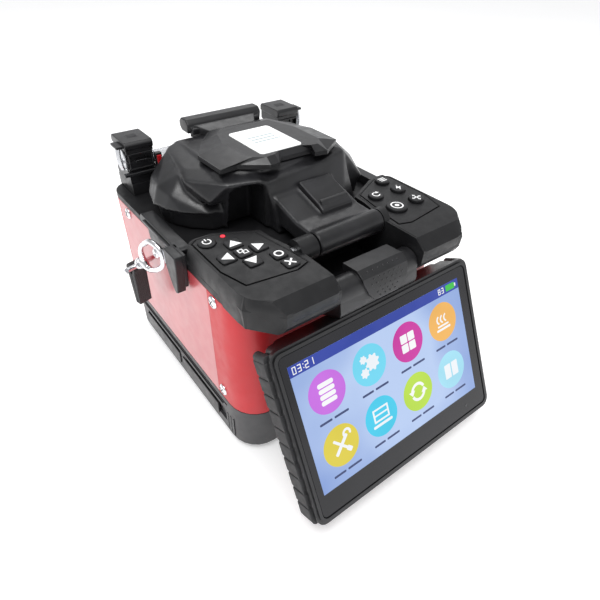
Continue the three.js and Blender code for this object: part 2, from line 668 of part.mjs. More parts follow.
function buildMonitor() {
  const hw = MONITOR_W / 2;
  const grip = 4.8;
  const frontOutline = roundedRect(-hw + 1.2, hw - 1.2, -MONITOR_H, 0, 5);
  const upright = (outline, y0, y1) => prismY(outline, y0, y1);
  // Back shell: tray with a sloped rear.
  let back = upright(roundedRect(-hw + grip, hw - grip, -MONITOR_H + 0.4, -0.4, 4), 3.6, 11);
  const hump = roundedRect(-hw + grip + 5, hw - grip - 5, -MONITOR_H + 8, -0.6, 4);
  back = back.add(upright(hump, 10.8, MONITOR_T));
  back = back.subtract(box(-hw + grip + 1.8, hw - grip - 1.8, 3, 9, -MONITOR_H + 3, -3));
  add("monitor_back", placeMonitor(back), "black_plastic");
  let bezel = upright(frontOutline, 0.9, 3.3);
  bezel = bezel.subtract(upright(roundedRect(-hw + 4.2, hw - 4.2, -MONITOR_H + 3, -3, 3), 0, 1.9));
  bezel = bezel.subtract(box(-SCREEN[0] / 2 - 2.5, SCREEN[0] / 2 + 0.5, 0, 5, -75.5, -7.5));
  bezel = bezel.add(minus(
    upright(roundedRect(-hw + 2.6, hw - 2.6, -MONITOR_H + 1.4, -1.4, 4), 0, 1.2),
    upright(roundedRect(-hw + 4.2, hw - 4.2, -MONITOR_H + 3, -3, 3), -1, 2),
  ));
  add("monitor_bezel", placeMonitor(bezel), "black_plastic");
  const glass = upright(roundedRect(-hw + 4.5, hw - 4.5, -MONITOR_H + 3.3, -3.3, 2.7), 0.4, 1.6);
  add("monitor_glass", placeMonitor(glass), "glass");
  const cx = -1.3;
  const top = -SCREEN_TOP_MARGIN;
  const panel = box(cx - SCREEN[0] / 2 + 0.3, cx + SCREEN[0] / 2 - 0.3, 1.9, 6, top - SCREEN[1], top);
  add("lcd_panel", placeMonitor(panel), "glass");
  // Ribbed rubber grips on both sides.
  [-1, 1].forEach((side) => {
    const x0 = side < 0 ? -hw : hw - grip + GAP;
    const x1 = x0 + grip - GAP;
    let strip = upright(roundedRect(x0, x1, -MONITOR_H + 1, -1, 2, 3), 3.6, MONITOR_T - 1);
    for (let i = 0; i < 9; i++) {
      const z = -12 - i * 8.2;
      const xa = side < 0 ? x0 - 1 : x1 - 1;
      strip = strip.subtract(box(xa, xa + 2, 5, MONITOR_T + 1, z - 1.2, z));
    }
    add("monitor_grip_" + (side < 0 ? "left" : "right"), placeMonitor(strip), "rubber");
  });
  // Bracket: barrel round the pin, bolted to the top of the back shell.
  const [my, mz] = MONITOR_AXIS;
  const bodySide = [
    [my, mz + 6.5], [my - 6.5, mz], [-61.6, 95.5], [-61.2, 91.8],
    [-50.4, 86], [-46.5, 90], [my + 6.5, mz],
  ];
  const body = prismX(bodySide, -23.6, 24.2);
  // Raised tongue: a ledge behind the barrel, narrowing to a rounded end on the front.
  const tongueSide = [
    [-46, mz + 5.6], [-46, mz + 7.6], [my - 1.5, mz + 8.3], [my - 5.8, mz + 5.9],
    [my - 8.2, mz], [-62.9, 96], [-62.5, 93], [my, 93],
  ];
  const tongueFace = [
    [-10.5, 112], [-10.5, 105], [-8.4, 100], [-5.4, 96.4], [-2, 95], [9.5, 95],
    [12.8, 96.4], [15.6, 100], [17, 105], [17, 112],
  ];
  const tongue = prismX(tongueSide, -12, 18).intersect(prismY(tongueFace, -70, -40));
  let bracket = union(body, tongue, rodX(6.8, -23.6, 24.2, my, mz, 28));
  bracket = bracket.subtract(rodX(BORE_R, -26, 26, my, mz, 32));
  bracket = bracket.subtract(placeMonitor(box(-70, 70, -2, 20, -30, GAP)));
  add("monitor_bracket", bracket, "black_plastic");
  add("monitor_hinge_pin", rodX(PIN_R, -28, 28, my, mz, 32), "steel");
}

// Battery, boards.
function buildInside() {
  const pack = union(
    box(-36, 36, 0, 97.8, 8.4, 31),
    box(-37.6, 37.6, 98.2, 100.9, 8.4, 32.6),
    box(-20, 20, 97.5, 98.5, 12, 30),
  );
  const finger = box(-14, 14, 99.8, 103, 24, 28);
  add("battery_pack", pack.subtract(finger), "black_plastic");
  // Main board with the arc transformer standing on it.
  const board = minus(box(-55, 55, -34, 88, 54, 55.6), box(-20, 20, 70, 100, 50, 60));
  add("main_board", board.add(box(-30, 30, 20, 56, 55, 76)), "board");
}

// A bent round bar through the given points.
function bentBar(points, r) {
  const curve = new THREE.CatmullRomCurve3(points.map((p) => new THREE.Vector3(...p)));
  const section = new THREE.Shape();
  for (let i = 0; i < 8; i++) {
    const a = (i * Math.PI) / 4;
    if (i === 0) section.moveTo(r * Math.cos(a), r * Math.sin(a));
    else section.lineTo(r * Math.cos(a), r * Math.sin(a));
  }
  const g = new THREE.ExtrudeGeometry(section, { steps: 20, extrudePath: curve, bevelEnabled: false });
  return toSolid(g);
}

// Side strap brackets with a snap hook and the end of a strap on each.
function buildStraps() {
  const [px, py, pz] = HOOK_PIVOT;
  [
    ["left", -1],
    ["right", 1],
  ].forEach(([word, dir]) => {
    const mirrored = (solid) => (dir < 0 ? solid : solid.mirror([1, 0, 0]));
    const bracket = union(
      box(-66.4, -59.8, 6, 50, DECK_TOP + GAP, 108.4),
      box(-70.6, -64.9, 0, 11, 88, 108.4),
      box(-65.9, -64.9, 10, 42, 92, 104.5),
      rodX(1.4, px - 4, -65, py, pz, 20),
      rodX(2.4, px - 5, px - 3.8, py, pz, 20),
    );
    add("strap_bracket_" + word, mirrored(bracket), "black_plastic");
    const turned = (solid) => solid.rotate([0, 0, HOOK_SPLAY]);
    const place = (solid) => mirrored(turned(solid.rotate([HOOK_LEAN, 0, 0])).translate(HOOK_PIVOT));
    const bowPath = [
      [0, -6.2, -16], [0, -6.4, -8], [0, -5, -1], [0, 0, 3.4], [0, 5, -1], [0, 6.2, -6],
    ];
    const bow = bentBar(bowPath, 1.5);
    const gate = bentBar([[0, 6.2, -5], [0, 6.4, -9], [0, 4.6, -14], [0, 0, -17.5]], 1.3);
    const swivel = union(box(-2, 2, -7.6, 3, -19, -15), rodZ(3.2, 0, 0, -24, -18.6, 20));
    const eye = minus(box(-9, 9, -1.4, 1.4, -31.3, -23.6), box(-6.6, 6.6, -3, 3, -28.6, -25.4));
    add("snap_hook_" + word, place(union(bow, gate, swivel, eye)), "chrome");
    // Webbing loop that hangs straight down from the eye's lower bar.
    const drop = new THREE.Vector3(0, 0, -EYE_BAR)
      .applyAxisAngle(new THREE.Vector3(1, 0, 0), THREE.MathUtils.degToRad(HOOK_LEAN))
      .applyAxisAngle(new THREE.Vector3(0, 0, 1), THREE.MathUtils.degToRad(HOOK_SPLAY));
    const loop = minus(
      union(rodX(3.7, -5.6, 5.6, 0, 0, 24), box(-5.6, 5.6, -1.9, 1.9, -24, -1)),
      rodX(2.3, -7, 7, 0, 0, 24),
    );
    const hung = turned(loop).translate([px + drop.x, py + drop.y, pz + drop.z]);
    add("strap_end_" + word, mirrored(hung), "webbing");
  });
}

buildHousing();
buildDeck();
buildLid();
buildMechanism();
buildHeater();
buildMonitor();
buildInside();
buildStraps();

export default group;
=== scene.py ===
"""Looks of a fiber fusion splicer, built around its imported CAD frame.

Lengths are in millimetres and become metres where a mesh is made. Only the lights and the floor are
given in metres.
"""
import json
import math

import bmesh
import bpy
from mathutils import Matrix, Vector, geometry

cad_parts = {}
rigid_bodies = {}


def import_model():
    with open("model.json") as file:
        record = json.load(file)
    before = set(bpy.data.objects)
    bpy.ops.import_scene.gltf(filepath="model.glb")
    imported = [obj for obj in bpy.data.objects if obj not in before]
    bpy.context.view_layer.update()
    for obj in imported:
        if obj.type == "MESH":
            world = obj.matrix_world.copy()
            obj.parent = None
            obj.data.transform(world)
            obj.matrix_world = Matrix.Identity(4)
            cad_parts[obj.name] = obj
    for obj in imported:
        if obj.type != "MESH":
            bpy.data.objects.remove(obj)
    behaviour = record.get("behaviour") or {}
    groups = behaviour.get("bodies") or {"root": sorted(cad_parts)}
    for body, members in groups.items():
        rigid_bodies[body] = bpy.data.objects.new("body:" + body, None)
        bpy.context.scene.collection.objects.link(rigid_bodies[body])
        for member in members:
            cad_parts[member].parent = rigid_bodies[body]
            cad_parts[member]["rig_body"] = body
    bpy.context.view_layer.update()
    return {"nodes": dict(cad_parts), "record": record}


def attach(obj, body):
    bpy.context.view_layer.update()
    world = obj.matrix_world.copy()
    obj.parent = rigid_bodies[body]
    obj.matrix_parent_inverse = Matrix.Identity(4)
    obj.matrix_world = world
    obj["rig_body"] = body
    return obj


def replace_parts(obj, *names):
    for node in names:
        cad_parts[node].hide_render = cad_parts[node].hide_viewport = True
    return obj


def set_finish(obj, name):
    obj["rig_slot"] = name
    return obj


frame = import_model()
nodes = frame["nodes"]

MM = 0.001

# Camera: place in mm, angles in degrees, and the lens for a 36 mm sensor.
CAMERA_AT = (-134.0, -174.4, 229.3)
CAMERA_YAW = 37.304
CAMERA_PITCH = -39.062
CAMERA_ROLL = 1.111
CAMERA_LENS = 28.55
CAMERA_SHIFT = (0.0061, 0.0026)

# Places and sizes of the frame that the looks build on, in mm; axes and tops are given as Y, Z.
SHOULDER_TOP = 114.0
LID_AXIS = (-31.0, 112.0)
MONITOR_AXIS = (-54.0, 101.0)
MONITOR_TILT = 26.7
MONITOR_TOP = (-62.1, 92.9)
MONITOR_HALF = 63.2
SCREEN_HALF = (54.0, 32.4)
SCREEN_CENTRE = (-1.3, -40.9)
GLASS_FACE = 0.4
PANEL_X = 64.6
SIDES = ((-1, "left"), (1, "right"))
HOOK_PIVOT = (69.6, 24.0, 99.0)


# ---------------------------------------------------------------- materials
# Materials by name.
LOOKS = {}

DISPLAY_BODY = ((0.010, 0.010, 0.012), (0.016, 0.016, 0.018))
DISPLAY_GLOW = 0.92


class Look:
    """A Principled material with short ways to add procedural detail in the object's own coordinates."""

    def __init__(self, name, **sockets):
        self.material = bpy.data.materials.new(name)
        self.material.use_nodes = True
        self.tree = self.material.node_tree
        self.bsdf = self.tree.nodes["Principled BSDF"]
        self.coords = self.tree.nodes.new("ShaderNodeTexCoord")
        for key, value in sockets.items():
            self.bsdf.inputs[key.replace("_", " ")].default_value = value

    def node(self, kind, inputs=None, **settings):
        made = self.tree.nodes.new(kind)
        for key, value in settings.items():
            setattr(made, key, value)
        for key, value in (inputs or {}).items():
            if isinstance(value, bpy.types.NodeSocket):
                self.tree.links.new(value, made.inputs[key])
            else:
                made.inputs[key].default_value = value
        return made

    def link(self, output, socket):
        self.tree.links.new(output, self.bsdf.inputs[socket])

    def noise(self, scale, detail=2.0, stretch=(1, 1, 1)):
        place = self.node("ShaderNodeMapping", {"Vector": self.coords.outputs["Object"], "Scale": stretch})
        return self.node(
            "ShaderNodeTexNoise", {"Vector": place.outputs["Vector"], "Scale": scale, "Detail": detail}
        ).outputs["Fac"]

    def cells(self, scale):
        return self.node(
            "ShaderNodeTexVoronoi", {"Vector": self.coords.outputs["Object"], "Scale": scale}
        ).outputs["Distance"]

    def between(self, factor, low, high, from_low=0.35, from_high=0.65):
        """The factor's span mapped onto low to high."""
        return self.node(
            "ShaderNodeMapRange",
            {"Value": factor, "From Min": from_low, "From Max": from_high, "To Min": low, "To Max": high},
        ).outputs["Result"]

    def colours(self, factor, first, second, from_low=0.35, from_high=0.65):
        mix = self.node("ShaderNodeMix", data_type="RGBA")
        self.tree.links.new(self.between(factor, 0, 1, from_low, from_high), mix.inputs[0])
        mix.inputs[6].default_value = (*first, 1)
        mix.inputs[7].default_value = (*second, 1)
        return mix.outputs[2]

    def bump(self, height, distance, strength=1.0):
        made = self.node(
            "ShaderNodeBump", {"Height": height, "Distance": distance * MM, "Strength": strength}
        )
        self.link(made.outputs["Normal"], "Normal")

    def surface(self, tone, dark, light, gloss, smooth, rough):
        """Base colour spread by one texture, roughness by another."""
        self.link(self.colours(tone, dark, light), "Base Color")
        self.link(self.between(gloss, smooth, rough), "Roughness")

    def glow(self, tone, strength):
        self.link(tone, "Emission Color")
        self.bsdf.inputs["Emission Strength"].default_value = strength


def plastic(name, dark, light, roughness, grain=1.0, ior=1.5):
    """Moulded plastic: spark-eroded grain, a little cloudiness in colour and gloss."""
    look = Look(name, IOR=ior)
    look.surface(look.noise(70, 3), dark, light, look.noise(240, 3), roughness - 0.05, roughness + 0.06)
    look.bump(look.cells(1900), 0.03, 0.35 * grain)
    LOOKS[name] = look.material


def paint(name, dark, light, coat):
    """Red satin powder coat with fine orange peel."""
    look = Look(name, IOR=1.45, Coat_Weight=coat, Coat_Roughness=0.28, Coat_IOR=1.7)
    look.surface(look.noise(28, 4), dark, light, look.noise(160, 3), 0.34, 0.46)
    look.bump(look.noise(900, 3), 0.03, 0.22)
    LOOKS[name] = look.material


def metal(name, colour, roughness, stretch=(1, 1, 1), scale=600):
    look = Look(name, Metallic=1.0)
    bright = tuple(min(1.0, c * 1.08) for c in colour)
    grain = look.noise(scale, 4, stretch)
    look.surface(grain, colour, bright, grain, roughness - 0.04, roughness + 0.08)
    look.bump(grain, 0.01, 0.3)
    LOOKS[name] = look.material


def rubber(name, dark, light, roughness):
    look = Look(name, IOR=1.45)
    look.surface(look.noise(120, 4), dark, light, look.noise(300, 2), roughness - 0.06, roughness + 0.06)
    look.bump(look.noise(2600, 2), 0.03, 0.3)
    LOOKS[name] = look.material


def ink(name, colour, roughness=0.5, glow=0.0):
    """Printed colour with a faint unevenness, and a little light of its own where glow is given: backlit on
    the red lens and key legends, a painted highlight on the lid label.
    """
    look = Look(name, IOR=1.45)
    tone = look.colours(look.noise(55, 2), colour, tuple(min(1.0, c * 1.07 + 0.01) for c in colour))
    look.link(tone, "Base Color")
    look.link(look.between(look.noise(300, 2), roughness - 0.03, roughness + 0.03), "Roughness")
    if glow:
        look.glow(tone, glow)
    LOOKS[name] = look.material


def lit(name, colour):
    """Colour of a lit display behind its glass: dark body, glow slightly uneven."""
    look = Look(name, IOR=1.34)
    look.surface(look.noise(90, 2), *DISPLAY_BODY, look.noise(90, 3), 0.10, 0.16)
    bright = tuple(min(1.0, c * 1.12 + 0.01) for c in colour)
    look.glow(look.colours(look.noise(30, 2), colour, bright), DISPLAY_GLOW)
    LOOKS[name] = look.material


def glossy_black(name):
    look = Look(name, IOR=1.36, Coat_Weight=0.2, Coat_Roughness=0.05)
    dark, light = (0.006, 0.006, 0.008), (0.010, 0.010, 0.013)
    look.surface(look.noise(30, 2), dark, light, look.noise(90, 3), 0.10, 0.20)
    LOOKS[name] = look.material


def clear_plastic(name):
    look = Look(name, IOR=1.5)
    dark, light = (0.80, 0.82, 0.85), (0.90, 0.91, 0.93)
    look.surface(look.noise(60, 2), dark, light, look.noise(200, 3), 0.14, 0.26)
    look.bsdf.inputs["Transmission Weight"].default_value = 0.45
    LOOKS[name] = look.material


def woven(name):
    """Nylon webbing with fine ribs."""
    look = Look(name, IOR=1.45)
    look.bsdf.inputs["Sheen Weight"].default_value = 0.3
    wave = look.node(
        "ShaderNodeTexWave",
        {"Vector": look.coords.outputs["Object"], "Scale": 420.0, "Distortion": 0.6},
        bands_direction="Z",
    ).outputs["Fac"]
    look.link(look.colours(wave, (0.010, 0.010, 0.011), (0.030, 0.030, 0.033), 0.1, 0.9), "Base Color")
    look.link(look.between(look.noise(400, 2), 0.75, 0.9), "Roughness")
    look.bump(wave, 0.25, 0.7)
    LOOKS[name] = look.material


def screen_gradient(name):
    """Lit display background: periwinkle blue, paler in the middle."""
    look = Look(name, IOR=1.34, Roughness=0.12)
    place = look.node(
        "ShaderNodeMapping",
        {"Vector": look.coords.outputs["Object"], "Location": (0.0, 0.0, -0.8), "Scale": (14, 0, 14)},
    )
    ring = look.node("ShaderNodeTexGradient", {"Vector": place.outputs["Vector"]}, gradient_type="SPHERICAL")
    sum_of = {0: ring.outputs["Fac"], 1: look.noise(24, 2)}
    soft = look.node("ShaderNodeMath", sum_of, operation="ADD").outputs[0]
    look.link(look.colours(look.noise(90, 2), *DISPLAY_BODY), "Base Color")
    look.glow(look.colours(soft, (0.15, 0.27, 0.66), (0.50, 0.64, 0.93), 0.4, 1.15), DISPLAY_GLOW)
    LOOKS[name] = look.material


plastic("black_plastic", (0.010, 0.010, 0.011), (0.016, 0.016, 0.018), 0.33, 0.8)
plastic("smooth_plastic", (0.009, 0.009, 0.010), (0.014, 0.014, 0.016), 0.26, 0.5)
plastic("deck_plastic", (0.008, 0.008, 0.009), (0.014, 0.014, 0.015), 0.42, 1.0, 1.38)
plastic("tray_plastic", (0.026, 0.026, 0.028), (0.036, 0.036, 0.039), 0.4, 1.0, 1.6)
ink("label_print", (0.42, 0.50, 0.52))
# Grey plastic; on the screw heads it also serves as painted shade in the cross slots.
plastic("grey_plastic", (0.035, 0.035, 0.038), (0.05, 0.05, 0.054), 0.45)
paint("red_paint", (0.53, 0.005, 0.011), (0.60, 0.009, 0.017), 0.12)
# The side panels' paint is the same red as the front, given a paler, pinker base colour as painted sheen of
# the bright surroundings seen at a grazing angle, on top of its full clear coat.
paint("side_paint_with_painted_sheen", (0.51, 0.034, 0.048), (0.58, 0.046, 0.060), 1.0)
rubber("rubber", (0.020, 0.020, 0.021), (0.032, 0.032, 0.034), 0.62)
rubber("key_rubber", (0.010, 0.010, 0.011), (0.016, 0.016, 0.018), 0.5)
metal("chrome", (0.80, 0.80, 0.82), 0.12, scale=300)
metal("steel", (0.60, 0.61, 0.63), 0.26, (1, 1, 12))
metal("aluminium", (0.66, 0.67, 0.69), 0.34, scale=1500)
ink("ceramic", (0.85, 0.84, 0.80), 0.35)
glossy_black("glass")
screen_gradient("display")
clear_plastic("clear_plastic")
ink("red_lens", (0.75, 0.03, 0.05), 0.25, 0.6)
ink("board", (0.03, 0.16, 0.06), 0.5)
woven("webbing")
ink("legend", (0.88, 0.88, 0.88), 0.55, 0.15)
# The lid label's glow is a painted highlight that keeps the sticker white.
ink("label", (0.92, 0.93, 0.92), 0.3, 0.25)
lit("status_blue", (0.015, 0.045, 0.36))
lit("screen_white", (0.88, 0.93, 0.98))
lit("charge_green", (0.03, 0.50, 0.05))
lit("caption_ink", (0.03, 0.05, 0.16))

# Record slots of the looks that are shades or prints on another material.
SLOT_OF = {
    "smooth_plastic": "black_plastic", "deck_plastic": "black_plastic", "tray_plastic": "black_plastic",
    "grey_plastic": "black_plastic", "label": "black_plastic", "label_print": "black_plastic",
    "legend": "key_rubber",
}

# CAD nodes whose look isn't the one named after their slot.
LOOK_OF = {
    # The side panels take the red paint with the painted sheen in its base colour.
    "side_panel_left": "side_paint_with_painted_sheen", "side_panel_right": "side_paint_with_painted_sheen", "base_tray": "tray_plastic",
    "keypad_plate_left": "deck_plastic", "keypad_plate_right": "deck_plastic", "top_deck": "deck_plastic",
}

# Edge rounding of a CAD node in mm, and the smallest angle in degrees that counts as an edge on it.
EDGE_OF = {"lid_top_plate": 0.5, "lid_handle": 0.8, "base_tray": 0.4}
ANGLE_OF = {"lid_top_plate": 8, "lid_handle": 15}
PLAIN_EDGE = 0.25
PLAIN_ANGLE = 24


# ---------------------------------------------------------------- mesh helpers
def add(name, data):
    """A new object in the scene."""
    obj = bpy.data.objects.new(name, data)
    bpy.context.scene.collection.objects.link(obj)
    return obj


def round_edges(obj, width, steps, angle):
    """Rounds each edge that turns by more than the angle."""
    bevel = obj.modifiers.new("bevel", "BEVEL")
    bevel.width = width * MM
    bevel.segments = steps
    bevel.limit_method = "ANGLE"
    bevel.angle_limit = math.radians(angle)
    obj.modifiers.new("normals", "WEIGHTED_NORMAL").keep_sharp = True


def dress_cad():
    """Each CAD node takes its look, and all but the thin keypad plates have their edges rounded."""
    slots = {s["node"]: s["material_slot"] for s in frame["record"]["subparts"]}
    for name, obj in nodes.items():
        obj.data.materials.clear()
        obj.data.materials.append(LOOKS[LOOK_OF.get(name, slots[name])])
        if name.startswith("keypad_plate"):
            continue
        for face in obj.data.polygons:
            face.use_smooth = True
        weld = obj.modifiers.new("weld", "WELD")
        weld.merge_threshold = 2e-6
        merge = obj.modifiers.new("merge", "DECIMATE")
        merge.decimate_type = "DISSOLVE"
        merge.angle_limit = math.radians(0.6)
        round_edges(obj, EDGE_OF.get(name, PLAIN_EDGE), 2, ANGLE_OF.get(name, PLAIN_ANGLE))


def make(name, verts, faces, look, body, bevel=0.0, steps=2, angle=30, slot=None, smooth=True):
    """A mesh piece from points in mm, with rounded edges of the given width."""
    mesh = bpy.data.meshes.new(name)
    mesh.from_pydata([Vector(v) * MM for v in verts], [], faces)
    work = bmesh.new()
    work.from_mesh(mesh)
    bmesh.ops.remove_doubles(work, verts=work.verts, dist=1e-7)
    bmesh.ops.recalc_face_normals(work, faces=work.faces)
    work.to_mesh(mesh)
    work.free()
    return settle(add(name, mesh), look, body, bevel, steps, angle, slot, smooth)


def settle(obj, look, body, bevel=0.0, steps=2, angle=30, slot=None, smooth=True):
    """Gives a piece its look, its shading, its slot in the record and the body it rides on."""
    obj.data.materials.append(LOOKS[look])
    for face in obj.data.polygons:
        face.use_smooth = smooth
    if bevel:
        round_edges(obj, bevel, steps, angle)
    elif smooth:
        split = obj.modifiers.new("split", "EDGE_SPLIT")
        split.split_angle = math.radians(angle)
    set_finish(obj, slot or SLOT_OF.get(look, look))
    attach(obj, body)
    return obj


def rings_mesh(rings):
    """Points and faces of a capped skin over rings that have equal counts of points."""
    n = len(rings[0])
    verts = [p for ring in rings for p in ring]
    faces = []
    for a in range(0, len(verts) - n, n):
        for j in range(n):
            k = (j + 1) % n
            faces.append((a + j, a + k, a + n + k, a + n + j))
    faces.append(tuple(range(n - 1, -1, -1)))
    faces.append(tuple(range(len(verts) - n, len(verts))))
    return verts, faces


def loft(name, rings, look, body, bevel=0.0, **more):
    return make(name, *rings_mesh(rings), look, body, bevel, **more)


def at_z(outline, z):
    return [(x, y, z) for x, y in outline]


def prism_z(name, outline, z0, z1, look, body, bevel=0.4, **more):
    """Outline in X, Y pushed along Z."""
    return loft(name, [at_z(outline, z0), at_z(outline, z1)], look, body, bevel, **more)


def prism_x(name, outline, x0, x1, look, body, bevel=0.4, **more):
    """Outline in Y, Z pushed along X."""
    rings = [[(x, y, z) for y, z in outline] for x in (x0, x1)]
    return loft(name, rings, look, body, bevel, **more)


def block(name, lo, hi, look, body, bevel=0.4, **more):
    """Box between two corners."""
    outline = [(lo[0], lo[1]), (hi[0], lo[1]), (hi[0], hi[1]), (lo[0], hi[1])]
    return prism_z(name, outline, lo[2], hi[2], look, body, bevel, **more)


def mirror(points):
    return [(-x, y) for x, y in points][::-1]


def rounded(x0, x1, y0, y1, r, steps=5):
    """Rectangle outline with round corners."""
    points = []
    corners = ((x1 - r, y1 - r), (x0 + r, y1 - r), (x0 + r, y0 + r), (x1 - r, y0 + r))
    for quarter, (cx, cy) in enumerate(corners):
        for i in range(steps + 1):
            a = math.radians(90 * quarter + 90 * i / steps)
            points.append((cx + r * math.cos(a), cy + r * math.sin(a)))
    return points


def inset(outline, d):
    """Outline moved in by d, corner by corner; outline runs counterclockwise."""
    out = []
    n = len(outline)
    for i in range(n):
        p, q, r = (Vector(outline[k % n]) for k in (i - 1, i, i + 1))
        e1 = (q - p).normalized()
        e2 = (r - q).normalized()
        n1 = Vector((-e1.y, e1.x))
        n2 = Vector((-e2.y, e2.x))
        m = (n1 + n2).normalized()
        out.append(tuple(q + m * (d / max(0.3, m.dot(n1)))))
    return out


def fillet(outline, radii, steps=4):
    """Outline with its corners rounded; radii is one number or one per corner."""
    n = len(outline)
    if not isinstance(radii, (list, tuple)):
        radii = [radii] * n
    out = []
    for i in range(n):
        p, q, r = (Vector(outline[k % n]) for k in (i - 1, i, i + 1))
        a, b = (p - q), (r - q)
        reach = max(0.02, min(radii[i], 0.45 * a.length, 0.45 * b.length))
        start = q + a.normalized() * reach
        end = q + b.normalized() * reach
        for k in range(steps + 1):
            t = k / steps
            point = start * (1 - t) ** 2 + q * 2 * t * (1 - t) + end * t * t
            out.append(tuple(point))
    return out


def lathe(name, profile, centre, axis, look, body, sides=32, **more):
    """A turned piece: profile of (radius, height) from its foot to its top along axis, on centre."""
    turn = Vector((0, 0, 1)).rotation_difference(Vector(axis)).to_matrix()
    rings = []
    for r, h in profile:
        ring = []
        for k in range(sides):
            a = 2 * math.pi * k / sides
            ring.append(turn @ Vector((r * math.cos(a), r * math.sin(a), h)) + Vector(centre))
        rings.append(ring)
    return loft(name, rings, look, body, **more)


def smooth_path(points, per=8):
    """Catmull-Rom points through the given ones."""
    pts = [Vector(p) for p in points]
    ends = [2 * pts[0] - pts[1], *pts, 2 * pts[-1] - pts[-2]]
    out = []
    for i in range(1, len(ends) - 2):
        a, b, c, d = ends[i - 1 : i + 3]
        for k in range(per):
            t = k / per
            square = 2 * a - 5 * b + 4 * c - d
            cube = 3 * b - a - 3 * c + d
            out.append(0.5 * (2 * b + (c - a) * t + square * t * t + cube * t**3))
    return out + [pts[-1]]


def sweep(name, points, radius, look, body, sides=14, flat=1.0, per=8, **more):
    """A round or flattened bar along a smooth path; radius may be one number or one per point."""
    path = smooth_path(points, per)
    count = len(path)
    radii = radius if isinstance(radius, (list, tuple)) else [radius] * len(points)
    rings = []
    side = None
    for i, p in enumerate(path):
        ahead = (path[min(i + 1, count - 1)] - path[max(i - 1, 0)]).normalized()
        if side is None:
            side = ahead.orthogonal().normalized()
        side = (side - ahead * side.dot(ahead)).normalized()
        up = ahead.cross(side)
        t = i / per
        low = min(int(t), len(radii) - 1)
        high = min(low + 1, len(radii) - 1)
        r = radii[low] + (radii[high] - radii[low]) * (t - low)
        turns = [2 * math.pi * k / sides for k in range(sides)]
        rings.append([p + side * r * math.cos(a) + up * r * flat * math.sin(a) for a in turns])
    return loft(name, rings, look, body, angle=50, **more)


def join(objs, name):
    """One piece from several that share a body."""
    bpy.ops.object.select_all(action="DESELECT")
    graph = bpy.context.evaluated_depsgraph_get()
    merged = bmesh.new()
    looks = []
    for obj in objs:
        look = obj.data.materials[0]
        if look not in looks:
            looks.append(look)
        mesh = bpy.data.meshes.new_from_object(obj.evaluated_get(graph))
        start = len(merged.faces)
        merged.from_mesh(mesh)
        merged.faces.ensure_lookup_table()
        for face in merged.faces[start:]:
            face.material_index = looks.index(look)
        bpy.data.meshes.remove(mesh)
    mesh = bpy.data.meshes.new(name)
    merged.to_mesh(mesh)
    merged.free()
    for look in looks:
        mesh.materials.append(look)
    made = add(name, mesh)
    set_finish(made, objs[0]["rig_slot"])
    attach(made, objs[0]["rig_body"])
    for obj in objs:
        bpy.data.objects.remove(obj)
    return made


# ---------------------------------------------------------------- camera, light, floor
def place_camera():
    yaw, pitch, roll = (math.radians(a) for a in (CAMERA_YAW, CAMERA_PITCH, CAMERA_ROLL))
    ahead = Vector((math.sin(yaw) * math.cos(pitch), math.cos(yaw) * math.cos(pitch), math.sin(pitch)))
    right = Vector((math.cos(yaw), -math.sin(yaw), 0))
    up = right.cross(ahead)
    side = right * math.cos(roll) + up * math.sin(roll)
    top = up * math.cos(roll) - right * math.sin(roll)
    data = bpy.data.cameras.new("camera")
    data.lens = CAMERA_LENS
    data.sensor_width = 36
    data.shift_x, data.shift_y = CAMERA_SHIFT
    data.clip_start = 0.01
    camera = add("camera", data)
    turn = Matrix((side, top, -ahead)).transposed().to_4x4()
    camera.matrix_world = Matrix.Translation(Vector(CAMERA_AT) * MM) @ turn
    bpy.context.scene.camera = camera


def area_light(name, at, target, size, watts):
    """Rectangular lamp, placed in metres, that faces its target."""
    data = bpy.data.lights.new(name, "AREA")
    data.shape = "RECTANGLE"
    data.size, data.size_y = size
    data.energy = watts
    light = add(name, data)
    light.location = at
    light.rotation_euler = (Vector(target) - Vector(at)).to_track_quat("-Z", "Y").to_euler()


# Studio brightness by the height of the direction, from the horizon at 0 to the zenith at 1.
SKY_STEPS = ((0.0, 1.0), (0.14, 1.0), (0.4, 0.5), (0.75, 0.55), (1.0, 0.8))


def light_studio():
    world = bpy.data.worlds.new("studio")
    world.use_nodes = True
    tree = world.node_tree
    sky = tree.nodes["Background"]
    coords = tree.nodes.new("ShaderNodeTexCoord")
    split = tree.nodes.new("ShaderNodeSeparateXYZ")
    curve = tree.nodes.new("ShaderNodeFloatCurve")
    tree.links.new(coords.outputs["Generated"], split.inputs[0])
    tree.links.new(split.outputs["Z"], curve.inputs["Value"])
    points = curve.mapping.curves[0].points
    points[0].location = SKY_STEPS[0]
    points[1].location = SKY_STEPS[-1]
    for height, strength in SKY_STEPS[1:-1]:
        points.new(height, strength)
    curve.mapping.update()
    tree.links.new(curve.outputs["Value"], sky.inputs["Strength"])
    sky.inputs["Color"].default_value = (0.98, 0.985, 1.0, 1)
    bpy.context.scene.world = world
    bpy.context.scene.view_settings.view_transform = "Standard"
    area_light("top_softbox", (-0.15, -0.1, 1.2), (0, 0, 0.08), (1.0, 0.8), 6.5)
    area_light("rear_softbox", (0.55, 0.9, 1.0), (0, 0, 0.1), (0.7, 0.4), 2.2)
    area_light("key_softbox", (-0.42, -0.30, 1.1), (0, 0, 0.1), (0.24, 0.24), 2.6)


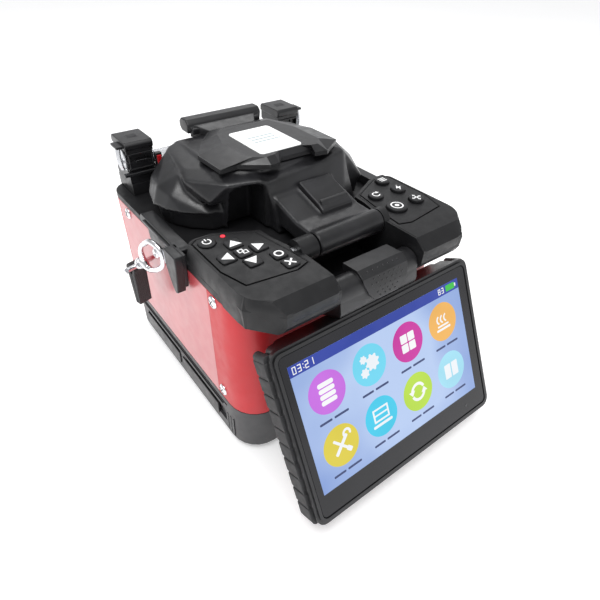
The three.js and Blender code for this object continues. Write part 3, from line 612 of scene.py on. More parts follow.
def lay_floor():
    """Plain pale paper that glows a little, so that it stays white up to the horizon."""
    mesh = bpy.data.meshes.new("floor")
    half = 6.0
    corners = [(-half, -half, 0), (half, -half, 0), (half, half, 0), (-half, half, 0)]
    mesh.from_pydata(corners, [], [(0, 1, 2, 3)])
    floor = add("floor", mesh)
    look = Look("floor_paper", Specular_IOR_Level=0.2)
    look.link(look.colours(look.noise(3, 2), (0.90, 0.90, 0.90), (0.92, 0.92, 0.92)), "Base Color")
    look.link(look.between(look.noise(40, 2), 0.75, 0.85), "Roughness")
    look.bsdf.inputs["Emission Color"].default_value = (1, 1, 1, 1)
    look.bsdf.inputs["Emission Strength"].default_value = 0.36
    mesh.materials.append(look.material)


# ---------------------------------------------------------------- screen
# How far each layer of the picture lies above the glass, and how thick a layer is.
BACKDROP_LIFT = 0.06
SHAPE_LIFT = 0.12
PRINT_LIFT = 0.18
MARK_LIFT = 0.2
FILM = 0.05

STATUS_HEIGHT = 5.2
ICON_RADIUS = 8.6
ICON_SCALE = 1.18
FIRST_ICON = (-38.5, 14.8)
ICON_STEP = (25.6, 27.6)
# How far the icons of each column hang below the row's line.
ICON_DROP = (1.8, 0.8, 0.6, 0.6)
CAPTION_DROP = 13.2


def monitor_point(x, depth, height):
    """Point of the tilted monitor: across, behind its front face, and up from its top edge."""
    a = math.radians(-MONITOR_TILT)
    y = depth * math.cos(a) - height * math.sin(a)
    z = depth * math.sin(a) + height * math.cos(a)
    return (x, y + MONITOR_TOP[0], z + MONITOR_TOP[1])


def screen_point(u, v, lift):
    """Point on the display: u across and v up from its centre, lifted off the glass."""
    return monitor_point(SCREEN_CENTRE[0] + u, GLASS_FACE - lift, SCREEN_CENTRE[1] + v)


def on_screen(name, outline, lift, look):
    """Thin film on the display."""
    rings = [[screen_point(u, v, lift - back) for u, v in outline] for back in (FILM, 0)]
    return loft(name, rings, look, "monitor", smooth=False, slot="display")


def disc(cx, cy, r, sides=40):
    turns = [2 * math.pi * k / sides for k in range(sides)]
    return [(cx + r * math.cos(a), cy + r * math.sin(a)) for a in turns]


def bar(cx, cy, w, h, turn=0.0, r=0.0):
    """A rectangle outline about a centre, with round corners if r is given, turned by degrees."""
    if r:
        points = rounded(-w / 2, w / 2, -h / 2, h / 2, r, 3)
    else:
        points = [(-w / 2, -h / 2), (w / 2, -h / 2), (w / 2, h / 2), (-w / 2, h / 2)]
    c, s = math.cos(math.radians(turn)), math.sin(math.radians(turn))
    return [(cx + x * c - y * s, cy + x * s + y * c) for x, y in points]


def gear(cx, cy, r, teeth=8):
    points = []
    for k in range(teeth * 4):
        a = 2 * math.pi * (k + 0.5) / (teeth * 4)
        reach = r if k % 4 < 2 else r * 0.78
        points.append((cx + reach * math.cos(a), cy + reach * math.sin(a)))
    return points


def arc_band(cx, cy, r, width, start, end, steps=18):
    """A curved band from one angle to another, in degrees."""
    outer = []
    inner = []
    for k in range(steps + 1):
        a = math.radians(start + (end - start) * k / steps)
        outer.append((cx + (r + width / 2) * math.cos(a), cy + (r + width / 2) * math.sin(a)))
        inner.append((cx + (r - width / 2) * math.cos(a), cy + (r - width / 2) * math.sin(a)))
    return outer + inner[::-1]


# Lit bars of each digit of a seven-segment display, a to f clockwise from the top and g across.
SEGMENTS = {
    "0": "abcdef", "1": "bc", "2": "abged", "3": "abgcd", "4": "fgbc",
    "5": "afgcd", "6": "afgedc", "7": "abc", "8": "abcdefg", "9": "abcfgd",
}


def digit_bars(digit, x, y, w, h, t):
    """Outlines of a seven-segment digit, w by h with bars t thick, whose lower left corner is at x, y."""
    place = {
        "a": (x + w / 2, y + h, w, t), "g": (x + w / 2, y + h / 2, w, t), "d": (x + w / 2, y, w, t),
        "f": (x, y + h * 0.75, t, h / 2), "b": (x + w, y + h * 0.75, t, h / 2),
        "e": (x, y + h * 0.25, t, h / 2), "c": (x + w, y + h * 0.25, t, h / 2),
    }
    bars = []
    for letter in SEGMENTS[digit]:
        cx, cy, across, up = place[letter]
        overlap = 0.6 * t
        bars.append(bar(cx, cy, across + overlap * (across > up), up + overlap * (up > across)))
    return bars


def icon_marks(kind):
    """White marks of one menu icon, as outlines about its centre."""
    if kind == "stack":
        return [bar(0, dy, 7.4, 1.9, 0, 0.8) for dy in (3.6, 1.2, -1.2, -3.6)]
    if kind == "gears":
        small = [gear(-3.0, -2.4, 2.2, 7), gear(-2.6, 3.2, 1.8, 7)]
        return [gear(1.6, 0.6, 3.6), *small]
    if kind == "tiles":
        return [bar(dx, dy, 3.7, 3.7, 0, 0.4) for dx in (-2.1, 2.1) for dy in (-2.1, 2.1)]
    if kind == "heat":
        waves = [arc_band(dx, 1.4, 1.7, 0.75, 110, 250) for dx in (-1.6, 0.6, 2.8)]
        return waves + [bar(0, -3.2, 8.6, 1.0, 0, 0.3), bar(0, -1.6, 6.8, 0.8)]
    if kind == "tools":
        return [
            bar(0, 0, 9.4, 1.5, 45, 0.5),
            bar(0, 0, 9.4, 1.1, -45, 0.4),
            arc_band(3.6, 3.6, 1.6, 1.0, -30, 240),
            bar(3.2, -3.2, 2.8, 2.0, -45, 0.5),
        ]
    if kind == "laptop":
        return [
            bar(-0.1, 1.4, 8.0, 0.7),
            bar(-3.8, 1.2, 0.8, 5.4),
            bar(3.8, 1.2, 0.8, 5.4),
            bar(0, 3.9, 8.4, 0.8),
            bar(0, -1.2, 8.4, 0.8),
            bar(0, -3.2, 10.4, 1.2, 0, 0.4),
        ]
    if kind == "cycle":
        return [
            arc_band(0, 0, 3.6, 1.3, 20, 160), arc_band(0, 0, 3.6, 1.3, 200, 340),
            [(-5.3, 1.4), (-1.7, 1.4), (-3.5, -0.9)],
            [(5.3, -1.4), (1.7, -1.4), (3.5, 0.9)],
        ]
    return [bar(-2.3, 0, 3.8, 6.8, 0, 0.4), bar(2.3, 0, 3.8, 6.8, 0, 0.4)]


# Icons of the menu in reading order, four to a row, with the colour of each one's disc.
MENU = [
    ("stack", (0.56, 0.14, 0.74)), ("gears", (0.16, 0.70, 0.92)), ("tiles", (0.58, 0.02, 0.34)),
    ("heat", (0.84, 0.44, 0.09)), ("tools", (0.72, 0.60, 0.04)), ("laptop", (0.04, 0.60, 0.84)),
    ("cycle", (0.46, 0.70, 0.04)), ("panels", (0.36, 0.74, 0.90)),
]


def status_marks():
    """Status bar with a clock and a battery level."""
    half_w, half_h = SCREEN_HALF
    top = half_h - STATUS_HEIGHT / 2
    marks = [on_screen("status_bar", bar(0, top, 2 * half_w, STATUS_HEIGHT), SHAPE_LIFT, "status_blue")]
    prints = []
    x = -half_w + 2.0
    for mark in "03:21":
        if mark == ":":
            prints += [disc(x + 0.2, top - 0.8, 0.28, 8), disc(x + 0.2, top + 0.9, 0.28, 8)]
            x += 1.2
        else:
            prints += digit_bars(mark, x, top - 1.5, 1.5, 3, 0.42)
            x += 2.7
    for i, mark in enumerate("83"):
        prints += digit_bars(mark, half_w - 15 + i * 2.4, top - 1.3, 1.3, 2.6, 0.4)
    marks += [on_screen("status_print", o, PRINT_LIFT, "screen_white") for o in prints]
    level = bar(half_w - 6.2, top, 6.6, 3.2, 0, 0.4)
    marks.append(on_screen("charge_level", level, PRINT_LIFT, "charge_green"))
    tip = bar(half_w - 2.4, top, 0.9, 1.6)
    marks.append(on_screen("charge_tip", tip, PRINT_LIFT, "screen_white"))
    return marks


def menu_marks():
    """Coloured discs with white marks on them and two caption bars below each."""
    marks = []
    for i, (kind, colour) in enumerate(MENU):
        row, column = divmod(i, 4)
        cx = FIRST_ICON[0] + column * ICON_STEP[0]
        cy = FIRST_ICON[1] - row * ICON_STEP[1] - ICON_DROP[column]
        lit("icon_" + kind, colour)
        face = disc(cx, cy, ICON_RADIUS * ICON_SCALE)
        marks.append(on_screen("icon_disc", face, SHAPE_LIFT, "icon_" + kind))
        for outline in icon_marks(kind):
            placed = [(cx + x * ICON_SCALE, cy + y * ICON_SCALE) for x, y in outline]
            marks.append(on_screen("icon_mark", placed, MARK_LIFT, "screen_white"))
        for dx, width in ((-4.6, 7.0), (4.4, 8.4)):
            caption = bar(cx + dx, cy - CAPTION_DROP, width, 1.1, 0, 0.4)
            marks.append(on_screen("icon_caption", caption, SHAPE_LIFT, "caption_ink"))
    return marks


def build_screen():
    half_w, half_h = SCREEN_HALF
    backdrop = on_screen("screen_backdrop", bar(0, 0, 2 * half_w, 2 * half_h), BACKDROP_LIFT, "display")
    join([backdrop, *status_marks(), *menu_marks()], "screen_picture")


# ---------------------------------------------------------------- deck: shoulders and keypads
SHOULDER = [
    (-64.7, 0), (-64.7, -48), (-53, -62.5), (-24.8, -62.5), (-24.8, -38),
    (-29.9, -17), (-30.6, -8), (-51.4, 2.8), (-60, 3.1),
]
KEYPAD = [
    (-62.4, -1.5), (-62.4, -28), (-58.5, -42), (-34.5, -45.2), (-27.5, -43),
    (-28.5, -34), (-31.8, -16), (-33, -9), (-51.6, 0.2), (-59, 0.6),
]
# Height, inset and front limit of each level of a keypad shoulder, from its foot to its top edge.
SHOULDER_LEVELS = [
    (97.7, 1.3, -56.6), (98.5, 0.5, -59.6), (105, 0.05, -63),
    (109.3, 0, -62.7), (111.4, 0.35, -60.0), (114.15, 1.0, -56.3),
]
SHOULDER_RADII = [2.5, 5, 4, 2.5, 3, 5, 5, 5, 4]
POCKET_FLOOR = 113.2
POCKET_GAP = 0.35

# Centre of each key and its radius, or half its side where the key is square.
LEFT_KEYS = {
    "power": (-56.2, -5.2, 4.2), "up": (-47, -12.9, 3.6), "right": (-38.8, -21, 3.6),
    "left": (-55.2, -21.2, 3.6), "down": (-47.1, -29.4, 3.6), "centre": (-47, -21.1, 3.5),
    "heat": (-35.2, -31.4, 3.3), "cancel": (-34.7, -39.4, 3.3),
}
RIGHT_KEYS = {
    "menu": (53.8, -4.6, 4), "arc": (54, -16.6, 4), "reset": (38.2, -15.8, 4),
    "set": (38.6, -30.6, 5.4), "xy": (53.4, -30.2, 4),
}


def build_shoulder(word):
    """Faceted shoulder with a pocket that the keypad lies in."""
    outline = fillet(SHOULDER, SHOULDER_RADII, 3)
    pad = inset(KEYPAD, -POCKET_GAP)
    if word == "right":
        outline, pad = mirror(outline), mirror(pad)
    rings = [[(x, max(y, front), z) for x, y in inset(outline, d)] for z, d, front in SHOULDER_LEVELS]
    verts, faces = rings_mesh(rings)
    # The flat top gives way to a ring around the pocket, with the pocket's wall and floor inside it.
    faces.pop()
    n = len(outline)
    top = [Vector(p) for p in rings[-1]]
    rim = [Vector((x, y, rings[-1][0][2])) for x, y in pad]
    offset = len(verts) - n
    verts += [tuple(p) for p in rim] + [(p.x, p.y, POCKET_FLOOR) for p in rim]
    for a, b, c in geometry.tessellate_polygon([top, rim]):
        faces.append((offset + a, offset + b, offset + c))
    m = len(pad)
    start = offset + n
    for j in range(m):
        k = (j + 1) % m
        faces.append((start + j, start + k, start + m + k, start + m + j))
    faces.append(tuple(start + m + j for j in range(m)))
    make("shoulder_" + word, verts, faces, "deck_plastic", "chassis", 0.55, steps=2, angle=24)


def legend_outlines(kind):
    """White marks printed on a key, as outlines about the centre of the key."""
    if kind == "power":
        return [arc_band(0, 0, 1.9, 0.6, -235, 55), bar(0, 1.5, 0.6, 1.9)]
    if kind in ("up", "right", "left", "down"):
        turn = {"up": 0, "right": -90, "left": 90, "down": 180}[kind]
        c, s = math.cos(math.radians(turn)), math.sin(math.radians(turn))
        shape = [(-3.1, -2.1), (3.1, -2.1), (0, 2.7)]
        return [[(a * c - b * s, a * s + b * c) for a, b in shape]]
    if kind == "centre":
        marks = []
        sides = ((0, 1.1, 2.7, 0.5), (0, -1.1, 2.7, 0.5), (-1.1, 0, 0.5, 2.2), (1.1, 0, 0.5, 2.2))
        for dx, dy in ((-0.8, 0.7), (0.8, -0.7)):
            marks += [bar(dx + bx, dy + by, w, h) for bx, by, w, h in sides]
        return marks
    if kind == "heat":
        return [arc_band(0, 0, 1.9, 0.75, start, start + 180) for start in (0, 180)]
    if kind == "cancel":
        return [bar(0, 0, 5.2, 0.85, 45), bar(0, 0, 5.2, 0.85, -45)]
    if kind == "menu":
        return [bar(0, d, 4.2, 0.7) for d in (-1.4, 0, 1.4)]
    if kind == "arc":
        half_bolt = [(0.9, 2.7), (-2.0, -0.5), (-0.2, -0.4)]
        return [[(side * a, side * b) for side in (1, -1) for a, b in half_bolt]]
    if kind == "reset":
        arrow = [(0.6, 0.9), (2.9, 0.9), (1.9, 2.7)]
        return [arc_band(0, 0, 1.9, 0.65, 40, 330), arrow]
    if kind == "set":
        return [arc_band(0, 0, 3.0, 0.7, start, start + 180) for start in (0, 180)] + [disc(0, 0, 1.2, 24)]
    marks = [bar(0, 0, 5.0, 0.65), bar(0, 0, 0.65, 5.0)]
    for a, b in ((1, 0), (0, 1), (-1, 0), (0, -1)):
        arrow = ((3.1, 0), (1.9, 1.0), (1.9, -1.0))
        marks.append([(out * a - aside * b, out * b + aside * a) for out, aside in arrow])
    return marks


SQUARE_KEYS = ("up", "right", "left", "down", "centre", "heat", "cancel")

# Stems reach from inside the deck to just above the keypad plate, where the caps start.
STEM_FOOT = 107.4
CAP_FOOT = SHOULDER_TOP + 0.36
CAP_BASE = SHOULDER_TOP + 0.45
STEM_INSET = 1.2


def build_keys():
    for keys, crown in ((LEFT_KEYS, 0.8), (RIGHT_KEYS, 1.5)):
        for name, (x, y, r) in keys.items():
            top = CAP_BASE + crown
            body = "key_" + name
            if name in SQUARE_KEYS:
                outline = rounded(x - r, x + r, y - r, y + r, 1.3, 4)
            else:
                outline = disc(x, y, r, 36)
            throat = disc(x, y, r - STEM_INSET, len(outline))
            steps = ((0, CAP_FOOT), (0, top - 0.5), (0.25, top - 0.1), (0.7, top))
            cap_rings = [at_z(throat, CAP_FOOT), *(at_z(inset(outline, d), z) for d, z in steps)]
            cap = loft("cap_" + name, cap_rings, "key_rubber", body, 0.1)
            stem_rings = [at_z(throat, STEM_FOOT), at_z(throat, CAP_FOOT)]
            stem = loft("stem_" + name, stem_rings, "key_rubber", body, smooth=False)
            prints = []
            for mark in legend_outlines(name):
                placed = [(x + a, y + b) for a, b in mark]
                rings = [at_z(placed, top - 0.1), at_z(placed, top + 0.03)]
                prints.append(loft("legend", rings, "legend", body, smooth=False))
            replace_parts(join([cap, stem, *prints], "button_" + name), "key_" + name)


# ---------------------------------------------------------------- lid
# Remesh size of the lid's skin in mm, and the number of smoothing rounds after it.
SKIN_VOXEL = 0.8
SKIN_STEPS = 8


def build_lid_skin():
    """The lid's shell with its facets blended into each other, as its generous mould radii do."""
    skin = add("lid_skin", nodes["lid_shell"].data.copy())
    skin.data.materials.clear()
    remesh = skin.modifiers.new("remesh", "REMESH")
    remesh.mode = "VOXEL"
    remesh.voxel_size = SKIN_VOXEL * MM
    remesh.use_smooth_shade = True
    relax = skin.modifiers.new("relax", "SMOOTH")
    relax.factor = 0.5
    relax.iterations = SKIN_STEPS
    settle(skin, "black_plastic", "lid", angle=80)
    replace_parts(skin, "lid_shell")


def build_lid():
    """Hinge barrel with the pad in front of it, the web under the handle and the label on top."""
    ay, az = LID_AXIS
    tube = [(2.62, -15.06), (5.6, -15.06), (6.08, -14.4), (6.08, 23.4), (5.6, 24.06), (2.62, 24.06)]
    barrel = lathe("lid_barrel", tube, (0, ay, az), (1, 0, 0), "black_plastic", "lid", 48, angle=35)
    pad_side = [
        (3.4, 120.5), (3.4, 124.9), (2.2, 126.0), (0.4, 125.2),
        (-14.0, 120.6), (-17.4, 118.6), (-18.2, 115.4),
    ]
    pad = prism_x("lid_pad", pad_side, 0.6, 20.2, "black_plastic", "lid", 0.8, steps=3)
    rib_side = [(-12.6, 118.4), (-12.8, 122.2), (-14.6, 121.8), (-16.0, 118.2)]
    rib = prism_x("lid_pad_rib", rib_side, 2.0, 18.8, "black_plastic", "lid", 0.4)
    join([barrel, pad, rib], "lid_arm_skin")
    # Web between the handle bar and the rear of the top plate.
    web = []
    for y, half, top in ((64.0, 14.5, 136.4), (74.8, 21.5, 138.8)):
        web.append([(-half, y, 131.2), (half, y, 131.2), (half, y, top), (-half, y, top)])
    loft("handle_web", web, "black_plastic", "lid", 0.5)
    label = prism_z("lid_label", rounded(-12.6, 12.6, 15, 48, 2.2), 138.5, 139.0, "label", "lid", 0.12)
    lines = []
    for k in range(3):
        outline = bar(0, 36 - 3.4 * k, 17 - 3 * (k % 2), 0.9)
        lines.append(prism_z("label_line", outline, 138.8, 139.12, "label_print", "lid", 0))
    join([label, *lines], "lid_film")


# ---------------------------------------------------------------- housing details
SCREW_HEIGHTS = (37.6, 96.0)
SCREW_DEPTHS = (-22.7, 75.9)
SCREW_HEAD = [(1.5, -1.2), (3.2, -0.1), (3.3, 0.4), (2.7, 1.05), (1.5, 1.35), (0.45, 1.4)]


def build_screws():
    """Pan-head cross screws that hold the red panels; each cross is a thin grey film on the head, painted
    shade of the recess.
    """
    for side, word in SIDES:
        heads = []
        x0, x1 = sorted((side * (PANEL_X + 1.2), side * (PANEL_X + 1.42)))
        for y in SCREW_DEPTHS:
            for z in SCREW_HEIGHTS:
                seat, out = (side * PANEL_X, y, z), (side, 0, 0)
                heads.append(lathe("head", SCREW_HEAD, seat, out, "chrome", "chassis", 28, angle=60))
                # The cross slot is a thin grey film on the head's top, painted shade of the recess.
                for turn in (35, 125):
                    cross = bar(y, z, 3.8, 0.6, turn)
                    heads.append(prism_x("cross", cross, x0, x1, "grey_plastic", "chassis", 0))
        join(heads, "panel_screws_" + word)


def build_tray_details():
    """Raised grip strips along both sides of the tray and three fins at its front."""
    for side, word in SIDES:
        pieces = []
        x0, x1 = sorted((side * (PANEL_X - 0.6), side * (PANEL_X + 0.7)))
        for y0, y1, z0, z1 in ((-20, 88, 23.6, 24.6), (-14, 30, 9.6, 18.4), (34, 82, 9.6, 18.4)):
            pieces.append(block("strip", (x0, y0, z0), (x1, y1, z1), "black_plastic", "chassis", 0.3))
        x0, x1 = sorted((side * (PANEL_X - 6), side * (PANEL_X + 0.25)))
        for y in (-30, -27, -24):
            fin = block("fin", (x0, y - 0.35, 6), (x1, y + 0.35, 20), "smooth_plastic", "chassis", 0.1)
            pieces.append(fin)
        join(pieces, "tray_trim_" + word)


# ---------------------------------------------------------------- heater clamps
CLAMP_WIDTH = 15.2


def build_heater_clamps():
    for way, word, x0 in ((-1, "left", -57.6), (1, "right", 42.4)):
        x1 = x0 + CLAMP_WIDTH
        body = "heater_clamp_" + word
        outer = x0 if way < 0 else x1

        def spread(a, b):
            return sorted((outer + way * a, outer + way * b))

        clamp_cap(word, body, x0, x1)
        clamp_spring(word, body, outer, way, *spread(0.15, 1.0))
        a, b = spread(-0.5, 4.4)
        block("clamp_tab_" + word, (a, 81.4, 130.2), (b, 90.4, 131.7), "black_plastic", body, 0.4)
        a, b = spread(3.4, -15.8)
        block("heater_step_" + word, (a, 78.8, 115.0), (b, 81.5, 116.7), "black_plastic", "chassis", 0.35)
    block("guide_block", (-41.5, 80.2, 110.2), (-37.7, 83.4, 124.4), "black_plastic", "chassis", 0.4)
    block("heater_guide", (-40.9, 79.4, 113.8), (-38.3, 80.6, 123.2), "red_paint", "chassis", 0.3)


def clamp_cap(word, body, x0, x1):
    """Cap with a slot in its top, and the frame and tab on the clamp's front."""
    cap_side = [
        (79.6, 129.4), (79.4, 131.9), (80.8, 133.3), (98.8, 133.3),
        (100.1, 132.0), (100.1, 129.0), (81.0, 128.4),
    ]
    pieces = [prism_x("cap", cap_side, x0 - 0.5, x1 + 0.5, "black_plastic", body, 0.5)]
    low, high = x0 + 0.6, x1 - 0.6
    bars = (
        (low, high, 126.3, 127.1), (low, high, 118.0, 118.9),
        (low, x0 + 1.4, 118.4, 126.8), (x1 - 1.4, high, 118.4, 126.8),
    )
    for a, b, z0, z1 in bars:
        pieces.append(block("frame", (a, 79.5, z0), (b, 82, z1), "black_plastic", body, 0.2))
    pieces.append(block("tab", (x0 + 4.4, 79.6, 122.1), (x1 - 4.4, 82, 123.2), "smooth_plastic", body, 0.3))
    rim = rounded(x0 + 4.2, x1 - 4.2, 87.4, 92.6, 0.8, 3)
    pieces.append(prism_z("slot", rim, 133.2, 133.42, "grey_plastic", body, 0.05))
    well = rounded(x0 + 4.9, x1 - 4.9, 88.1, 91.9, 0.5, 3)
    pieces.append(prism_z("slot_well", well, 133.3, 133.5, "rubber", body, 0))
    join(pieces, "clamp_trim_" + word)


def clamp_spring(word, body, outer, way, plate_x0, plate_x1):
    """Spring plate and lever on the clamp's outer side, with the pivot screw."""
    plate_side = [(81.5, 117.8), (90.5, 117.8), (92.5, 124), (92, 128.6), (84, 128.6), (81.5, 124)]
    plate = prism_x("spring_plate", plate_side, plate_x0, plate_x1, "steel", body, 0.15)
    lever_path = [
        (outer + way * 2.6, 84.5, 130.2), (outer + way * 3.2, 84.0, 126),
        (outer + way * 3.0, 83.4, 121.5), (outer + way * 2.2, 83.6, 118.4),
    ]
    lever = sweep("spring_lever", lever_path, 0.9, "steel", body, 12, 1.6)
    screw_side = [(1.6, 0), (1.6, 1.6), (1.1, 2.1)]
    pivot_at = (outer + way * 1.2, 88.5, 121)
    pivot = lathe("pivot_screw", screw_side, pivot_at, (way, 0, 0), "chrome", body, 24)
    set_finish(join([plate, lever, pivot], "clamp_spring_" + word), "steel")


# ---------------------------------------------------------------- monitor details
TONGUE_MIDDLE = 3.4
DOT_STEP = 3.1
DOT_PROFILE = [(0.62, -0.5), (0.6, 0.1), (0.35, 0.34), (0.05, 0.4)]
GRIP_RIBS = 10
GRIP_END = -86.6
LAMP = (44.6, -38.9)
LAMP_RADIUS = 0.9


def build_monitor_details():
    """Dots on the bracket's tongue, ribbed grips on both sides of the monitor and the charge lamp."""
    axis_y, axis_z = MONITOR_AXIS
    # Y, Z and half width of each row of dots on the tongue.
    rows = [
        (-57.4, 108.15, 11), (-60.2, 105.7, 10.5), (-61.1, 103.5, 10),
        (-61.9, 101.2, 9.2), (-62.35, 99.0, 8), (-62.65, 97.0, 6),
    ]
    dots = []
    for row, (py, pz, reach) in enumerate(rows):
        out = Vector((0, py - axis_y, pz - axis_z)).normalized()
        for column in range(-4, 5):
            x = DOT_STEP * column + DOT_STEP / 2 * (row % 2)
            if abs(x) < reach:
                spot = (x + TONGUE_MIDDLE, py, pz)
                dots.append(lathe("dot", DOT_PROFILE, spot, out, "smooth_plastic", "monitor", 10, angle=80))
    join(dots, "bracket_dots")
    for side, word in SIDES:
        ribs = []
        inner = side * (MONITOR_HALF - 5.0)
        outer = side * (MONITOR_HALF + 0.35)
        # Across, depth, and how far the rib's upper and lower face lie below its line there.
        corners = (
            (inner, 3.2, 0, 6.6), (outer, 3.2, 0.4, 6.6), (outer, 13.2, 0.4, 7.4), (inner, 13.2, 0, 7.4),
        )
        for k in range(GRIP_RIBS):
            line = -3.6 - 8.2 * k
            upper = [monitor_point(x, depth, line - near) for x, depth, near, far in corners]
            lower = [monitor_point(x, depth, max(line - far, GRIP_END)) for x, depth, near, far in corners]
            ribs.append(loft("grip_rib", [lower, upper], "rubber", "monitor", 0.5))
        join(ribs, "grip_ribs_" + word)
    rings = [[screen_point(*p, lift) for p in disc(*LAMP, LAMP_RADIUS, 16)] for lift in (0.03, 0.08)]
    loft("charge_lamp", rings, "grey_plastic", "monitor", smooth=False)


# ---------------------------------------------------------------- snap hooks and strap ends
# Angles in degrees by which a hook leans forward and turns out, and how far its eye's bar hangs below it.
HOOK_LEAN = 51.0
HOOK_SPLAY = 14.0
EYE_DROP = 29.95

# Half width of the strap and the drop of its ends, the radii of the fold's two faces, how far the
# strap's face lies from the middle of the fold, and the outline of one stitch on it.
STRAP_HALF = 3.9
STRAP_DROP = 23.5
FOLD_OUTER = 3.55
FOLD_INNER = 1.75
STRAP_FACE = 1.95
STITCH = [(-2.9, -0.2), (2.9, -0.2), (2.9, 0.2), (-2.9, 0.2)]


def hook_point(way, x, y, z):
    """Point of the left or right snap hook, given upright about its pivot."""
    lean, splay = math.radians(HOOK_LEAN), math.radians(HOOK_SPLAY)
    y, z = y * math.cos(lean) - z * math.sin(lean), y * math.sin(lean) + z * math.cos(lean)
    x, y = x * math.cos(splay) - y * math.sin(splay), x * math.sin(splay) + y * math.cos(splay)
    return (way * (HOOK_PIVOT[0] - x), HOOK_PIVOT[1] + y, HOOK_PIVOT[2] + z)


def build_hooks():
    """Snap hook of bent wire, with its gate, collar, thumb pin and eye, and the strap end on the eye."""
    for way, word in SIDES:
        body = "snap_hook_" + word

        def rod(name, path, radius):
            return sweep(name, [hook_point(way, *p) for p in path], radius, "chrome", body)

        bow_path = [
            (0, -5.6, -16.5), (0, -7.2, -9), (0, -6.2, -1), (0, 0, 3.6), (0, 6.2, -1), (0, 7.2, -7.5),
        ]
        gate_path = [(0, 7.2, -6.8), (0, 7.1, -11), (0, 5.2, -15.5), (0, 0, -18.6)]
        shank_path = [(0, -5.6, -16), (0, -3.4, -18.4), (0, 0, -19.4), (0, 0, -21)]
        collar_path = [(0, 0, -20.6), (0, 0, -21.6), (0, 0, -23.2), (0, 0, -24)]
        eye_path = [
            (-7.8, 0, -24.6), (0, 0, -24.4), (7.8, 0, -24.6), (8.3, 0, -27.2), (7.6, 0, -29.8),
            (0, 0, -EYE_DROP), (-7.6, 0, -29.8), (-8.3, 0, -27.2), (-7.8, 0, -24.6),
        ]
        rods = [
            rod("bow", bow_path, 1.45),
            rod("gate", gate_path, [1.2, 1.2, 1.35, 1.7]),
            rod("shank", shank_path, [1.5, 1.9, 2.5, 2.6]),
            rod("collar", collar_path, [3.3, 3.4, 3.4, 2.7]),
            rod("thumb", [(1.2, 6.6, -9), (3.4, 7.6, -9.6)], [0.9, 0.7]),
            rod("eye", eye_path, 1.35),
        ]
        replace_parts(join(rods, "carabiner_" + word), body)
        build_strap(way, word)


def build_strap(way, word):
    """Webbing folded over the eye's lower bar and stitched to itself, with a heat-cut end."""
    body = "strap_end_" + word
    centre = Vector(hook_point(way, 0, 0, -EYE_DROP))
    splay = math.radians(HOOK_SPLAY)
    # Level direction along the eye's bar, and the one across it.
    along = Vector((math.cos(splay), -way * math.sin(splay), 0))
    across = Vector((-along.y, along.x, 0))
    turns = [math.radians(-30 + 240 * k / 18) for k in range(19)]
    outer = [(FOLD_OUTER * math.cos(a), FOLD_OUTER * math.sin(a)) for a in turns]
    inner = [(FOLD_INNER * math.cos(a), FOLD_INNER * math.sin(a)) for a in reversed(turns)]
    seam = [(-0.1, -STRAP_DROP), (-0.1, -3.4), *inner, (0.1, -3.4), (0.1, -STRAP_DROP)]
    profile = [(STRAP_FACE, -STRAP_DROP), *outer, (-STRAP_FACE, -STRAP_DROP), *seam]
    rings = []
    for side in (-STRAP_HALF, STRAP_HALF):
        rings.append([centre + along * side + across * u + Vector((0, 0, v)) for u, v in profile])
    pieces = [loft("fold", rings, "webbing", body, 0.2, steps=1, angle=50)]
    for k in range(4):
        for face in (-1, 1):
            drop = Vector((0, 0, -7.5 - 1.3 * (k % 2) - 7 * (k // 2)))
            spot = centre + across * (STRAP_FACE * face) + drop
            rings = []
            for lift in (-0.12, 0.12):
                rings.append([spot + across * lift + along * a + Vector((0, 0, b)) for a, b in STITCH])
            pieces.append(loft("stitch", rings, "webbing", body, smooth=False))
    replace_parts(join(pieces, "strap_fold_" + word), "strap_end_" + word)


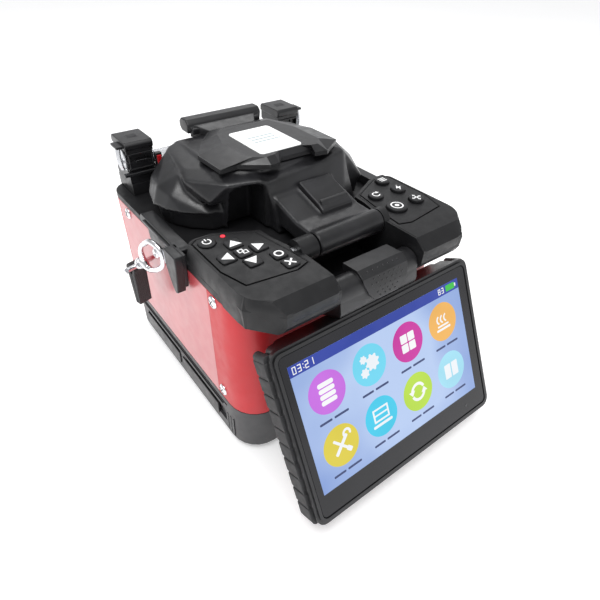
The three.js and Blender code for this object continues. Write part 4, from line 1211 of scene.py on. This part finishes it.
# ---------------------------------------------------------------- strap brackets
def build_strap_brackets():
    """Bracket over the deck edge with a tapered leg, a steel keeper for the hook and its pivot stud."""
    py, pz = HOOK_PIVOT[1:]
    leg_side = [
        (-0.3, 108.9), (-0.6, 104), (0.4, 98), (2.2, 87.6),
        (4.6, 86.4), (7.6, 90), (11.4, 99), (11.4, 108.9),
    ]
    web_side = [(10.5, 104.8), (10.5, 93), (14, 91.5), (34, 91.5), (42, 98), (42.4, 104.8)]
    rail_side = [(5.5, 103.7), (5.5, 107.6), (8, 108.9), (48, 108.9), (50.4, 106.6), (50.4, 103.7)]
    rib_side = [(12, 105.4), (12, 107.4), (44, 107.4), (46, 105.4)]
    keeper_side = [(13.6, 93.6), (19.4, 92.8), (20.6, 103.4), (14.6, 103.8)]
    stud_profile = [(1.42, 0), (1.42, 4.6), (2.6, 4.7), (2.7, 5.6), (2.0, 6.3)]
    screw_profile = [(1.5, 0), (1.5, 0.7), (0.9, 1.1)]
    for way, word in SIDES:

        def plate(name, outline, a, b, bevel, look="black_plastic"):
            x0, x1 = sorted((way * a, way * b))
            return prism_x(name, outline, x0, x1, look, "chassis", bevel)

        pieces = [
            plate("leg", leg_side, 70.9, 66.3, 0.5),
            plate("leg_back", [leg_side[0], (1.6, 90), (9, 94), leg_side[-1]], 66.6, 64.9, 0.3),
            plate("web", web_side, 66.1, 64.8, 0.3),
            plate("rail", rail_side, 66.5, 59.7, 0.5),
            plate("rib", rib_side, 67.6, 66.0, 0.4),
        ]
        out = (way, 0, 0)
        stud = lathe("stud", stud_profile, (way * 65, py, pz), out, "chrome", "chassis", 28)
        keeper = plate("keeper", keeper_side, 66.9, 66.0, 0.2, "steel")
        screw = lathe("screw", screw_profile, (way * 66.8, 15.6, 96.6), out, "chrome", "chassis", 20)
        holder = join([*pieces, stud, keeper, screw], "strap_holder_" + word)
        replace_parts(holder, "strap_bracket_" + word)


# ---------------------------------------------------------------- run
place_camera()
light_studio()
lay_floor()
dress_cad()
build_screen()
for word in ("left", "right"):
    build_shoulder(word)
build_keys()
build_lid_skin()
build_lid()
build_screws()
build_tray_details()
build_heater_clamps()
build_monitor_details()
build_strap_brackets()
build_hooks()
